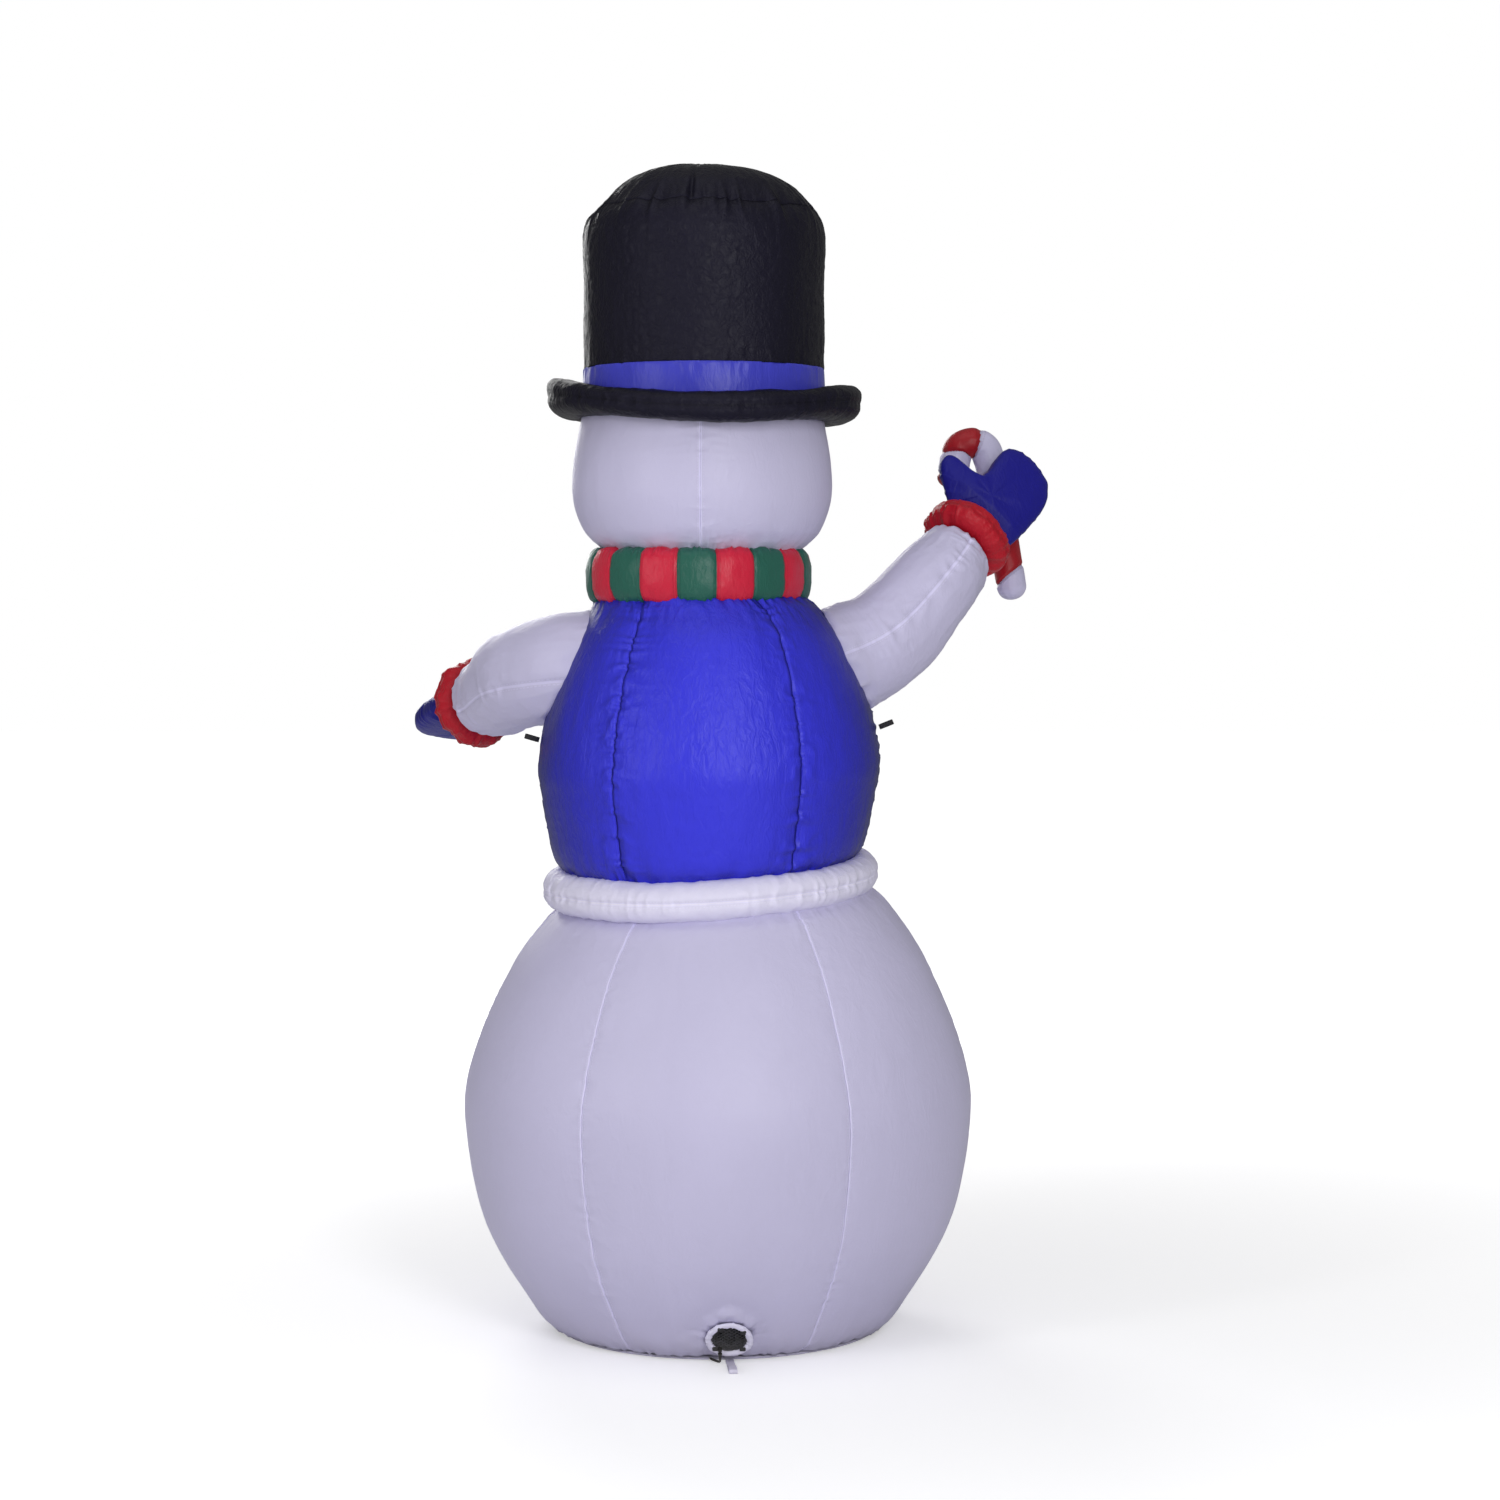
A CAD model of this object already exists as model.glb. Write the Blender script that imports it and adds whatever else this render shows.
import bmesh
import bpy
import numpy as np
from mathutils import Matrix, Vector


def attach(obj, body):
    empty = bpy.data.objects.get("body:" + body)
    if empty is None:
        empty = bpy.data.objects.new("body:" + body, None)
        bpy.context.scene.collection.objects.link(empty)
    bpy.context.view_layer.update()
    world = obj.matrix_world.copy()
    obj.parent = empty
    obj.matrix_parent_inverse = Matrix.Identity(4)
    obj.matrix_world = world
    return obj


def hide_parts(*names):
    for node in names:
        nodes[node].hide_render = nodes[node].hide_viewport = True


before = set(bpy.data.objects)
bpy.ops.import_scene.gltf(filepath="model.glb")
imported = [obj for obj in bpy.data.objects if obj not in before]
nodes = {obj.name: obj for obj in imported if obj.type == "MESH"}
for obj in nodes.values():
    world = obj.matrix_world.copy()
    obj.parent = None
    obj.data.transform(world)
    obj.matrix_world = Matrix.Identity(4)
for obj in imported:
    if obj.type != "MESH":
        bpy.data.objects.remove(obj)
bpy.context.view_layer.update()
tau = 2 * np.pi
print("frame loaded with", len(nodes), "parts")

# camera at the yard's eye height, a few steps behind the snowman
camera = {"place": (-0.066, 6.5, 1.5), "pitch": 87.32, "turn": 180, "lens": 75.4}
cameraData = bpy.data.cameras.new("backView")
cameraData.lens = camera["lens"]
cameraObject = bpy.data.objects.new("backView", cameraData)
cameraObject.location = camera["place"]
cameraObject.rotation_euler = np.radians([camera["pitch"], 0, camera["turn"]])
bpy.context.scene.collection.objects.link(cameraObject)
bpy.context.scene.camera = cameraObject
bpy.context.scene.view_settings.view_transform = "Standard"


# soft random values from -1 to 1, blended between whole numbers; wrap repeats them along u
def softNoise(u, v, seed, wrap=256):
    table = np.random.default_rng(seed).uniform(-1, 1, (256, 256))
    iu, iv = np.floor(u).astype(int), np.floor(v).astype(int)
    fu, fv = u - iu, v - iv
    fu, fv = fu * fu * (3 - 2 * fu), fv * fv * (3 - 2 * fv)
    a, b = iu % wrap % 256, (iu + 1) % wrap % 256
    c, d = iv % 256, (iv + 1) % 256
    return (
        (table[a, c] * (1 - fu) + table[b, c] * fu) * (1 - fv)
        + (table[a, d] * (1 - fu) + table[b, d] * fu) * fv
    )


# crumpled cloth: one minus 2.2 times the size of soft noise, so folds meet in ridges, over three sizes
def crumple(u, v, seed, wrap=256):
    total = 0.0
    for step, share in enumerate([0.55, 0.3, 0.15]):
        twice = 2**step
        total = total + share * (1 - 2.2 * np.abs(softNoise(u * twice, v * twice, seed + step, wrap * twice)))
    return total


# sharp ridges: one minus twice the size of soft noise raised to a power
def sharpFolds(u, v, seed, wrap=256, power=0.8):
    return 1 - 2 * np.abs(softNoise(u, v, seed, wrap)) ** power


# the same noises round a ring, with a whole number of steps in a turn
def ringNoise(turn, count, v, seed):
    return softNoise(turn / tau * count, v, seed, count)


def ringFolds(turn, count, v, seed, power=0.8):
    return sharpFolds(turn / tau * count, v, seed, count, power)


def ringCrumple(turn, count, v, seed):
    return crumple(turn / tau * count, v, seed, count)


# a bell curve: one in the middle, and e to the minus one at its width
def bell(away, width):
    return np.exp(-((away / width) ** 2))


# falls by a factor of e over each reach
def fade(away, reach):
    return np.exp(-away / reach)


# a power that keeps the sign; below one it squares off a sine
def signedPower(value, power):
    return np.sign(value) * np.abs(value) ** power


def fullTurn(count):
    return np.linspace(0, tau, count, endpoint=False)


def halfTurn(count):
    return np.linspace(-np.pi / 2, np.pi / 2, count)


# points at a reach, a turn and a height round an upright axis at x
def roundPoints(reach, turn, height, x=0):
    return np.stack([x + reach * np.cos(turn), reach * np.sin(turn), height + 0 * turn], 2)


# the gaps between a line's points, and the length from its first point to each
def gapsOf(line):
    return np.linalg.norm(np.diff(line, axis=0), axis=1)


def lengthAlong(line):
    return np.append(0, np.cumsum(gapsOf(line)))


# each span of a cubic curve between two points, from the slopes it leaves and arrives with
def cubicSpan(start, step, leave, arrive, t):
    return start + leave * t + (3 * step - 2 * leave - arrive) * t**2 + (leave + arrive - 2 * step) * t**3


# centripetal curve through the points: cubic spans, their end slopes shared by the square roots of the gaps
def smoothPath(points, steps):
    p = np.array(points, float)
    p = np.vstack([2 * p[0] - p[1], p, 2 * p[-1] - p[-2]])
    gaps = np.sqrt(gapsOf(p))
    t = np.linspace(0, 1, steps, endpoint=False)[:, None]
    spans = []
    for i in range(1, len(p) - 2):
        a, b, c = gaps[i - 1 : i + 2]
        step = p[i + 1] - p[i]
        leave = b * ((p[i] - p[i - 1]) / a - (p[i + 1] - p[i - 1]) / (a + b)) + step
        arrive = b * ((p[i + 2] - p[i + 1]) / c - (p[i + 2] - p[i]) / (b + c)) + step
        spans.append(cubicSpan(p[i], step, leave, arrive, t))
    return np.vstack(spans + [p[-2:-1]])


# the same points at equal steps of length
def evenPath(line, count):
    length = lengthAlong(line)
    even = np.linspace(0, length[-1], count)
    return np.stack([np.interp(even, length, line[:, k]) for k in range(line.shape[1])], 1)


def unit(v):
    return v / np.maximum(np.linalg.norm(v, axis=-1, keepdims=True), 1e-12)


# directions along a path, and two sideways ones turned as little as possible from one point to the next
def carriedFrame(line, first):
    along = unit(np.gradient(line, axis=0))
    up = np.empty_like(line)
    carried = np.array(first, float)
    for i, direction in enumerate(along):
        carried = unit(carried - direction * carried.dot(direction))
        up[i] = carried
    return along, up, np.cross(along, up)


# local coordinates on three axes from an origin
def placed(points, origin, across, along, facing):
    return (
        np.array(origin, float) + points[..., 0:1] * np.array(across, float)
        + points[..., 1:2] * np.array(along, float) + points[..., 2:3] * np.array(facing, float)
    )


# axes for a piece made along its own third axis, so that it stands on a normal
def standOn(normal):
    facing = unit(np.array(normal, float))
    across = unit(np.cross([0, 0, 1] if abs(facing[2]) < 0.9 else [0, 1, 0], facing))
    return across, np.cross(facing, across), facing


clothWall = 0.0015


def linkObject(name, data):
    made = bpy.data.objects.new(name, data)
    bpy.context.scene.collection.objects.link(made)
    return made


# joins a grid of points into quads; map lengths are sums of the mean steps, in metres
def gridMesh(name, points, ringColumns=False, ringRows=False, marks=None, keep=None, poles=False):
    rows, columns = points.shape[:2]
    i, j = np.meshgrid(
        np.arange(rows - (not ringRows)), np.arange(columns - (not ringColumns)), indexing="ij"
    )
    i, j = i.ravel(), j.ravel()
    corners = [(i, j), (i, j + 1), (i + 1, j + 1), (i + 1, j)]
    quads = np.stack([(a % rows) * columns + b % columns for a, b in corners], 1)
    wide = np.stack([a * (columns + 1) + b for a, b in corners], 1)
    flat = points.reshape(-1, 3)
    if keep is not None:
        quads, wide = quads[keep], wide[keep]
    elif ringColumns and (ringRows or poles):
        a, b, c, d = (flat[quads[:, k]] for k in range(4))
        if (a * np.cross(b, c) + a * np.cross(c, d)).sum() < 0:
            quads, wide = quads[:, ::-1], wide[:, ::-1]
    mesh = bpy.data.meshes.new(name)
    mesh.vertices.add(len(flat))
    mesh.vertices.foreach_set("co", flat.astype(np.float32).ravel())
    mesh.loops.add(quads.size)
    mesh.loops.foreach_set("vertex_index", quads.astype(np.int32).ravel())
    mesh.polygons.add(len(quads))
    mesh.polygons.foreach_set("loop_start", np.arange(0, quads.size, 4, dtype=np.int32))
    mesh.update(calc_edges=True)
    widths = np.linalg.norm(np.roll(points, -1, 1) - points, axis=2).mean(0)
    heights = np.linalg.norm(np.roll(points, -1, 0) - points, axis=2).mean(1)
    u = np.append(0, np.cumsum(widths))
    v = np.append(0, np.cumsum(heights))
    clothMap = np.stack(np.meshgrid(u, v), 2).reshape(-1, 2)
    layer = mesh.uv_layers.new(name="clothMap")
    layer.uv.foreach_set("vector", clothMap[wide.ravel()].astype(np.float32).ravel())
    unsewn = {"seamDistance": np.ones((rows, columns)), "seamPlace": np.zeros((rows, columns))}
    for title, values in {**unsewn, **(marks or {})}.items():
        if values.shape == (rows, columns):
            values = np.pad(values, ((0, 1), (0, 1)), mode="wrap")
        mark = mesh.attributes.new(title, "FLOAT", "CORNER")
        mark.data.foreach_set("value", values.ravel()[wide.ravel()].astype(np.float32))
    if keep is not None or poles:
        work = bmesh.new()
        work.from_mesh(mesh)
        bmesh.ops.remove_doubles(work, verts=work.verts, dist=2e-6)
        bmesh.ops.delete(work, geom=[v for v in work.verts if not v.link_faces], context="VERTS")
        work.to_mesh(mesh)
        work.free()
    mesh.polygons.foreach_set("use_smooth", np.ones(len(mesh.polygons), bool))
    mesh.update()
    return mesh


# a grid closed round its columns, its first and last rows each drawn to one point or rim
def closedMesh(name, points, **marks):
    return gridMesh(name, points, ringColumns=True, marks=marks, poles=True)


# draws the first and last rows of a grid each to their middle
def pinchEnds(points):
    points[[0, -1]] = points[[0, -1]].mean(1, keepdims=True)
    return points


# points with a row at each end, where every column meets that end's tip
def withTips(points, tips):
    first, last = (np.broadcast_to(tip, points[:1].shape) for tip in tips)
    return np.concatenate([first, points, last])


# joins finished meshes into one, with their maps and marks
def joinedMesh(name, meshes):
    work = bmesh.new()
    for mesh in meshes:
        work.from_mesh(mesh)
    joined = bpy.data.meshes.new(name)
    work.to_mesh(joined)
    work.free()
    return joined


# puts a mesh into the scene as a piece: its finish, its body, the part it stands for and its wall
def addPiece(mesh, finish, replaces=(), body="snowman", wall=0.0):
    piece = linkObject(mesh.name, mesh)
    mesh.materials.clear()
    mesh.materials.append(finishes[finish])
    if wall:
        solid = piece.modifiers.new("wall", "SOLIDIFY")
        solid.thickness = wall
        solid.offset = -1
    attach(piece, body)
    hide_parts(*([replaces] if isinstance(replaces, str) else replaces))
    return piece


# a round tube along a path; radius may change along it, and grow maps (place, angle) to a factor
def tubeGrid(line, radius, sides, first=(0, 0, 1), grow=None):
    along, up, side = carriedFrame(line, first)
    angle = fullTurn(sides)
    radius = np.broadcast_to(radius, len(line))[:, None]
    if grow is not None:
        radius = radius * grow
    points = (
        line[:, None] + up[:, None] * (radius * np.cos(angle))[..., None]
        + side[:, None] * (radius * np.sin(angle))[..., None]
    )
    return withTips(points, line[[0, -1]])


# puts values into a node's sockets, or links them when they are sockets themselves
def feed(tree, sockets, values):
    for key, value in values.items():
        if isinstance(value, bpy.types.NodeSocket):
            tree.links.new(value, sockets[key])
        else:
            sockets[key].default_value = value


def addNode(tree, kind, inputs=None, **settings):
    made = tree.nodes.new(kind)
    for key, value in settings.items():
        setattr(made, key, value)
    feed(tree, made.inputs, inputs or {})
    return made


def maths(tree, operation, *values, clamp=False):
    values = dict(enumerate(values))
    return addNode(tree, "ShaderNodeMath", values, operation=operation, use_clamp=clamp).outputs[0]


def times(tree, a, b):
    return maths(tree, "MULTIPLY", a, b)


# a times b, plus c
def timesPlus(tree, a, b, c):
    return maths(tree, "MULTIPLY_ADD", a, b, c)


def mixColor(tree, factor, a, b, blend="MIX"):
    inputs = {0: factor, 6: a, 7: b}
    return addNode(tree, "ShaderNodeMix", inputs, data_type="RGBA", blend_type=blend).outputs[2]


def noiseIn(tree, place, scale, detail, **more):
    inputs = {"Vector": place, "Scale": scale, "Detail": detail, **more}
    return addNode(tree, "ShaderNodeTexNoise", inputs).outputs["Fac"]


# one at zero, falling straight to none at the reach
def fallTo(tree, value, reach):
    return addNode(tree, "ShaderNodeMapRange", {0: value, 1: 0.0, 2: reach, 3: 1.0, 4: 0.0}).outputs[0]


def splitVector(tree, place):
    return addNode(tree, "ShaderNodeSeparateXYZ", {0: place}).outputs


number, vector = "NodeSocketFloat", "NodeSocketVector"


# a node group with number outputs; given holds the name and start value of each number input
def newGroup(name, given, outputs, vectorIn=True):
    tree = bpy.data.node_groups.new(name, "ShaderNodeTree")
    if vectorIn:
        tree.interface.new_socket("Vector", in_out="INPUT", socket_type=vector)
    for title, value in given.items():
        tree.interface.new_socket(title, in_out="INPUT", socket_type=number).default_value = value
    for title in outputs:
        tree.interface.new_socket(title, in_out="OUTPUT", socket_type=number)
    return tree, tree.nodes.new("NodeGroupInput").outputs, tree.nodes.new("NodeGroupOutput").inputs


# plain weave: the product of two sine waves, one along each thread direction
def makeWeaveGroup():
    tree, given, out = newGroup("plainWeave", {"Threads": 900.0}, ["Height", "Shade"])
    parts = splitVector(tree, given["Vector"])
    turns = times(tree, given["Threads"], np.pi)
    waves = [maths(tree, "SINE", times(tree, parts[k], turns)) for k in (0, 1)]
    over = timesPlus(tree, times(tree, waves[0], waves[1]), 0.5, 0.5)
    slub = noiseIn(tree, given["Vector"], 240.0, 2.0)
    feed(tree, out, {"Height": over, "Shade": timesPlus(tree, over, 0.6, times(tree, slub, 0.4))})
    return tree


# thin-cloth crinkles: folded noise raised to a power, so flat patches meet in fine ridges
def makeCrinkleGroup():
    inputs = {"Size": 0.03, "Stretch": 1.0, "Sharpness": 3.0}
    tree, given, out = newGroup("clothCrinkle", inputs, ["Height", "Shade"])
    scale = maths(tree, "DIVIDE", 1.0, given["Size"])
    tall = addNode(tree, "ShaderNodeCombineXYZ", {0: 1.0, 1: 1.0, 2: given["Stretch"]}).outputs[0]
    stretched = {0: given["Vector"], 1: tall}
    place = addNode(tree, "ShaderNodeVectorMath", stretched, operation="MULTIPLY").outputs[0]
    noise = noiseIn(tree, place, scale, 4.0, Roughness=0.55, Distortion=0.5)
    swing = maths(tree, "ABSOLUTE", timesPlus(tree, noise, 2.0, -1.0))
    ridge = maths(tree, "POWER", maths(tree, "SUBTRACT", 1.0, swing, clamp=True), given["Sharpness"])
    feed(tree, out, {"Height": ridge, "Shade": noiseIn(tree, place, times(tree, scale, 0.22), 3.0)})
    return tree


# machine stitching: short dashes at a set distance either side of a seam
def makeStitchGroup():
    inputs = {"Distance": 0.0, "Along": 0.0, "Offset": 0.006, "Pitch": 0.006}
    tree, given, out = newGroup("seamStitch", inputs, ["Mask", "Crease"], vectorIn=False)
    off = maths(tree, "ABSOLUTE", maths(tree, "SUBTRACT", given["Distance"], given["Offset"]))
    line = maths(tree, "LESS_THAN", off, 0.0009)
    place = maths(tree, "FRACT", maths(tree, "DIVIDE", given["Along"], given["Pitch"]))
    dash = maths(tree, "LESS_THAN", place, 0.62)
    feed(tree, out, {"Mask": times(tree, line, dash), "Crease": fallTo(tree, given["Distance"], 0.004)})
    return tree


# yard dust: strongest at the ground, broken up by noise
def makeDustGroup():
    tree, given, out = newGroup("yardDust", {"Reach": 0.16}, ["Mask"])
    low = fallTo(tree, splitVector(tree, given["Vector"])[2], given["Reach"])
    patch = noiseIn(tree, given["Vector"], 14.0, 5.0)
    feed(tree, out, {"Mask": times(tree, maths(tree, "POWER", low, 2.0), patch)})
    return tree


# fine grain for felt, rubber and moulded plastic
def makeGrainGroup():
    tree, given, out = newGroup("fineGrain", {"Size": 0.001}, ["Height", "Shade"])
    scale = maths(tree, "DIVIDE", 1.0, given["Size"])
    fine = noiseIn(tree, given["Vector"], scale, 4.0, Roughness=0.7)
    wide = noiseIn(tree, given["Vector"], times(tree, scale, 0.05), 3.0)
    feed(tree, out, {"Height": fine, "Shade": timesPlus(tree, fine, 0.5, times(tree, wide, 0.5))})
    return tree


groups = {
    "weave": makeWeaveGroup(), "crinkle": makeCrinkleGroup(), "stitch": makeStitchGroup(),
    "dust": makeDustGroup(), "grain": makeGrainGroup()
}


def groupOutputs(tree, kind, inputs):
    return addNode(tree, "ShaderNodeGroup", inputs, node_tree=groups[kind]).outputs


def startMaterial(name):
    material = bpy.data.materials.new(name)
    material.use_nodes = True
    tree = material.node_tree
    return material, tree, tree.nodes["Principled BSDF"].inputs


def shade(color, factor):
    return *[min(1, c * factor) for c in color[:3]], 1


def grey(tone):
    return tone, tone, tone, 1


def objectPlace(tree):
    return addNode(tree, "ShaderNodeTexCoord").outputs["Object"]


def clothPlace(tree):
    return addNode(tree, "ShaderNodeUVMap", uv_map="clothMap").outputs[0]


def markOf(tree, title):
    return addNode(tree, "ShaderNodeAttribute", attribute_name=title).outputs["Fac"]


# what every finish ends with: dust over the colour, roughness, and the height as a bump
def dressSurface(tree, shader, color, dust, dustShare, roughness, height):
    dusty = mixColor(tree, times(tree, dust, dustShare), color, (0.42, 0.38, 0.33, 1))
    bump = addNode(tree, "ShaderNodeBump", {"Height": height, "Distance": 1.0, "Strength": 1.0})
    feed(tree, shader, {"Base Color": dusty, "Roughness": roughness, "Normal": bump.outputs[0]})


# air-filled nylon: woven base colour, darker in its crinkles, changed along its seams, dusty at the ground
def clothMaterial(
    name, color, roughness=0.46, crinkle=0.0005, size=0.03, stretch=0.5, sheen=0.02, stripe=None,
    seamTone=0.72, variation=0.12, gloss=0.3, edgeTone=1.0
):
    material, tree, shader = startMaterial(name)
    place = objectPlace(tree)
    weave = groupOutputs(tree, "weave", {"Vector": clothPlace(tree), "Threads": 900.0})
    foldInputs = {"Vector": place, "Size": size, "Stretch": stretch, "Sharpness": 3.0}
    folds = groupOutputs(tree, "crinkle", foldInputs)
    seams = {"Distance": markOf(tree, "seamDistance"), "Along": markOf(tree, "seamPlace")}
    stitch = groupOutputs(tree, "stitch", seams)
    dust = groupOutputs(tree, "dust", {"Vector": place})["Mask"]
    if stripe is None:
        base, dark = color, shade(color, 1 - variation)
    else:
        base = stripe(tree, markOf(tree, "stripePlace"))
        dark = mixColor(tree, 1.0, base, grey(1 - variation), "MULTIPLY")
    tone = timesPlus(tree, folds["Shade"], 0.6, times(tree, weave["Shade"], 0.4))
    toned = mixColor(tree, tone, dark, base)
    seamed = mixColor(tree, 1.0, toned, grey(seamTone), "MULTIPLY")
    creased = mixColor(tree, stitch["Crease"], toned, seamed)
    sewn = mixColor(tree, times(tree, stitch["Mask"], 0.35), creased, seamed)
    # close weaves show less of their colour where the cloth turns away
    turnedAway = addNode(tree, "ShaderNodeLayerWeight", {"Blend": 0.5}).outputs["Facing"]
    turned = mixColor(tree, turnedAway, sewn, mixColor(tree, 1.0, sewn, grey(edgeTone), "MULTIPLY"))
    rough = timesPlus(tree, dust, 0.2, timesPlus(tree, folds["Shade"], 0.16, roughness - 0.08))
    height = timesPlus(tree, folds["Height"], crinkle, times(tree, weave["Height"], 0.00006))
    height = timesPlus(tree, stitch["Mask"], 0.0004, height)
    dressSurface(tree, shader, turned, dust, 0.35, rough, height)
    feed(tree, shader, {"Sheen Weight": sheen, "Sheen Roughness": 0.45, "Specular IOR Level": gloss})
    return material


# felt, rubber, plastic or metal: fine grain in colour, roughness and height
def grainMaterial(name, color, roughness, size=0.001, depth=0.0001, metallic=0.0, sheen=0.0, variation=0.25):
    material, tree, shader = startMaterial(name)
    place = objectPlace(tree)
    grain = groupOutputs(tree, "grain", {"Vector": place, "Size": size})
    dust = groupOutputs(tree, "dust", {"Vector": place, "Reach": 0.1})["Mask"]
    toned = mixColor(tree, grain["Shade"], shade(color, 1 - variation), shade(color, 1 + variation))
    rough = timesPlus(tree, grain["Shade"], 0.2, roughness - 0.1)
    dressSurface(tree, shader, toned, dust, 0.25, rough, times(tree, grain["Height"], depth))
    feed(tree, shader, {"Metallic": metallic, "Sheen Weight": sheen})
    return material


# webbing: cross ribs from a sine along the strap, and threads along it
def webbingMaterial(name, color):
    ribPitch, threadPitch = 0.0014, 0.0014 * 0.8
    material, tree, shader = startMaterial(name)
    parts = splitVector(tree, clothPlace(tree))
    rib = maths(tree, "SINE", times(tree, parts[1], tau / ribPitch))
    thread = maths(tree, "SINE", times(tree, parts[0], tau / threadPitch))
    woven = timesPlus(tree, rib, 0.35, timesPlus(tree, thread, 0.15, 0.5))
    dust = groupOutputs(tree, "dust", {"Vector": objectPlace(tree), "Reach": 0.12})["Mask"]
    toned = mixColor(tree, woven, shade(color, 0.65), shade(color, 1.2))
    rough = timesPlus(tree, woven, -0.12, 0.72)
    dressSurface(tree, shader, toned, dust, 0.35, rough, times(tree, woven, 0.0003))
    feed(tree, shader, {"Sheen Weight": 0.1})
    return material


# bands of two colours: the mark counts bands, and every other one takes the second colour
def twoBands(first, second):
    def build(tree, mark):
        odd = maths(tree, "GREATER_THAN", maths(tree, "FRACT", times(tree, mark, 0.5)), 0.5)
        return mixColor(tree, odd, first, second)
    return build


colors = {
    "white": (0.63, 0.60, 0.82, 1), "blue": (0.040, 0.041, 0.80, 1), "bandBlue": (0.05, 0.055, 0.55, 1),
    "black": (0.0125, 0.0112, 0.025, 1), "scarfRed": (0.66, 0.016, 0.05, 1),
    "scarfGreen": (0.02, 0.125, 0.09, 1), "red": (0.50, 0.008, 0.022, 1),
    "mittenBlue": (0.012, 0.011, 0.26, 1), "caneRed": (0.40, 0.008, 0.016, 1),
    "orange": (0.76, 0.17, 0.02, 1), "webbing": (0.012, 0.012, 0.014, 1),
    "plastic": (0.012, 0.012, 0.013, 1), "grey": (0.16, 0.16, 0.17, 1), "steel": (0.55, 0.55, 0.57, 1),
    "rubber": (0.02, 0.02, 0.021, 1), "lens": (0.75, 0.76, 0.82, 1), "net": (0.06, 0.06, 0.068, 1),
    "felt": (0.011, 0.011, 0.013, 1)
}
finishes = {
    "white": clothMaterial("whiteNylon", colors["white"], crinkle=0.00045, size=0.035, seamTone=1.34),
    "ring": clothMaterial("ringNylon", (0.84, 0.81, 1.0, 1), crinkle=0.0006, size=0.02, seamTone=1.15),
    "blue": clothMaterial(
        "blueNylon", colors["blue"], roughness=0.40, crinkle=0.0010, size=0.018, stretch=0.35, gloss=0.3,
        sheen=0.0, seamTone=0.86, edgeTone=0.12
    ),
    "band": clothMaterial(
        "bandSatin", colors["bandBlue"], roughness=0.36, crinkle=0.0004, size=0.012, stretch=0.3, sheen=0.04
    ),
    "hat": clothMaterial(
        "hatNylon", colors["black"], roughness=0.42, crinkle=0.0012, size=0.016, stretch=0.8, variation=0.3,
        gloss=0.12, sheen=0.0, edgeTone=0.2
    ),
    "scarf": clothMaterial(
        "scarfSatin", colors["scarfRed"], roughness=0.36, crinkle=0.0006, size=0.018, sheen=0.03,
        stripe=twoBands(colors["scarfGreen"], colors["scarfRed"])
    ),
    "red": clothMaterial(
        "cuffNylon", colors["red"], roughness=0.42, crinkle=0.0008, size=0.014, gloss=0.25, sheen=0.0
    ),
    "mitten": clothMaterial(
        "mittenNylon", colors["mittenBlue"], roughness=0.45, crinkle=0.0008, size=0.02, gloss=0.2, sheen=0.0
    ),
    "cane": clothMaterial(
        "caneNylon", colors["caneRed"], roughness=0.42, crinkle=0.0005, size=0.014,
        stripe=twoBands(colors["white"], colors["caneRed"])
    ),
    "tailRed": clothMaterial("tailRedSatin", colors["scarfRed"], roughness=0.38, size=0.016),
    "tailGreen": clothMaterial("tailGreenSatin", colors["scarfGreen"], roughness=0.38, size=0.016),
    "orange": clothMaterial("carrotNylon", colors["orange"], roughness=0.45, crinkle=0.0004, size=0.012),
    "felt": grainMaterial(
        "blackFelt", colors["felt"], 0.95, size=0.0011, depth=0.0007, sheen=0.4, variation=0.5
    ),
    "webbing": webbingMaterial("blackWebbing", colors["webbing"]),
    "plastic": grainMaterial("blackPlastic", colors["plastic"], 0.4, size=0.0007, depth=0.00005),
    "net": grainMaterial("netNylon", colors["net"], 0.45, size=0.0007, depth=0.00005),
    "grey": grainMaterial("greyPlastic", colors["grey"], 0.45, size=0.0009, depth=0.00006),
    "steel": grainMaterial(
        "brushedSteel", colors["steel"], 0.32, size=0.0006, depth=0.00002, metallic=1.0, variation=0.12
    ),
    "rubber": grainMaterial("cordRubber", colors["rubber"], 0.5, size=0.0009, depth=0.00006),
    "lens": grainMaterial("lampLens", colors["lens"], 0.18, size=0.002, depth=0.00002, variation=0.06)
}
print("materials made:", len(finishes))


# power lead: down out of the blower, along the groove under the base, and wound up in front
cord = {
    "radius": 0.0024, "lowest": 0.00245, "exit": (-0.007, 0.38252, 0.02466),
    "bend": [
        (-0.007, 0.3715, 0.0112), (-0.006, 0.362, 0.0045), (-0.001, 0.3515, 0.0025),
        (0.0075, 0.3395, 0.0025)
    ],
    "grooveX": 0.012, "grooveHeight": 0.0025, "grooveY": [0.328, 0.300, 0.160, 0, -0.160, -0.318, -0.374],
    "coilCentre": (0.044, -0.400), "coilRadii": [0.032, 0.0269, 0.0219, 0.0219, 0.0269, 0.032],
    "coilHeights": [0.0025, 0.0025, 0.0025, 0.0075, 0.0076, 0.0076], "plug": (0.012, -0.4246, 0.0081)
}
route = [cord["exit"], *cord["bend"], *[(cord["grooveX"], y, cord["grooveHeight"]) for y in cord["grooveY"]]]
leadIn = smoothPath(route, 14)
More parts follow.
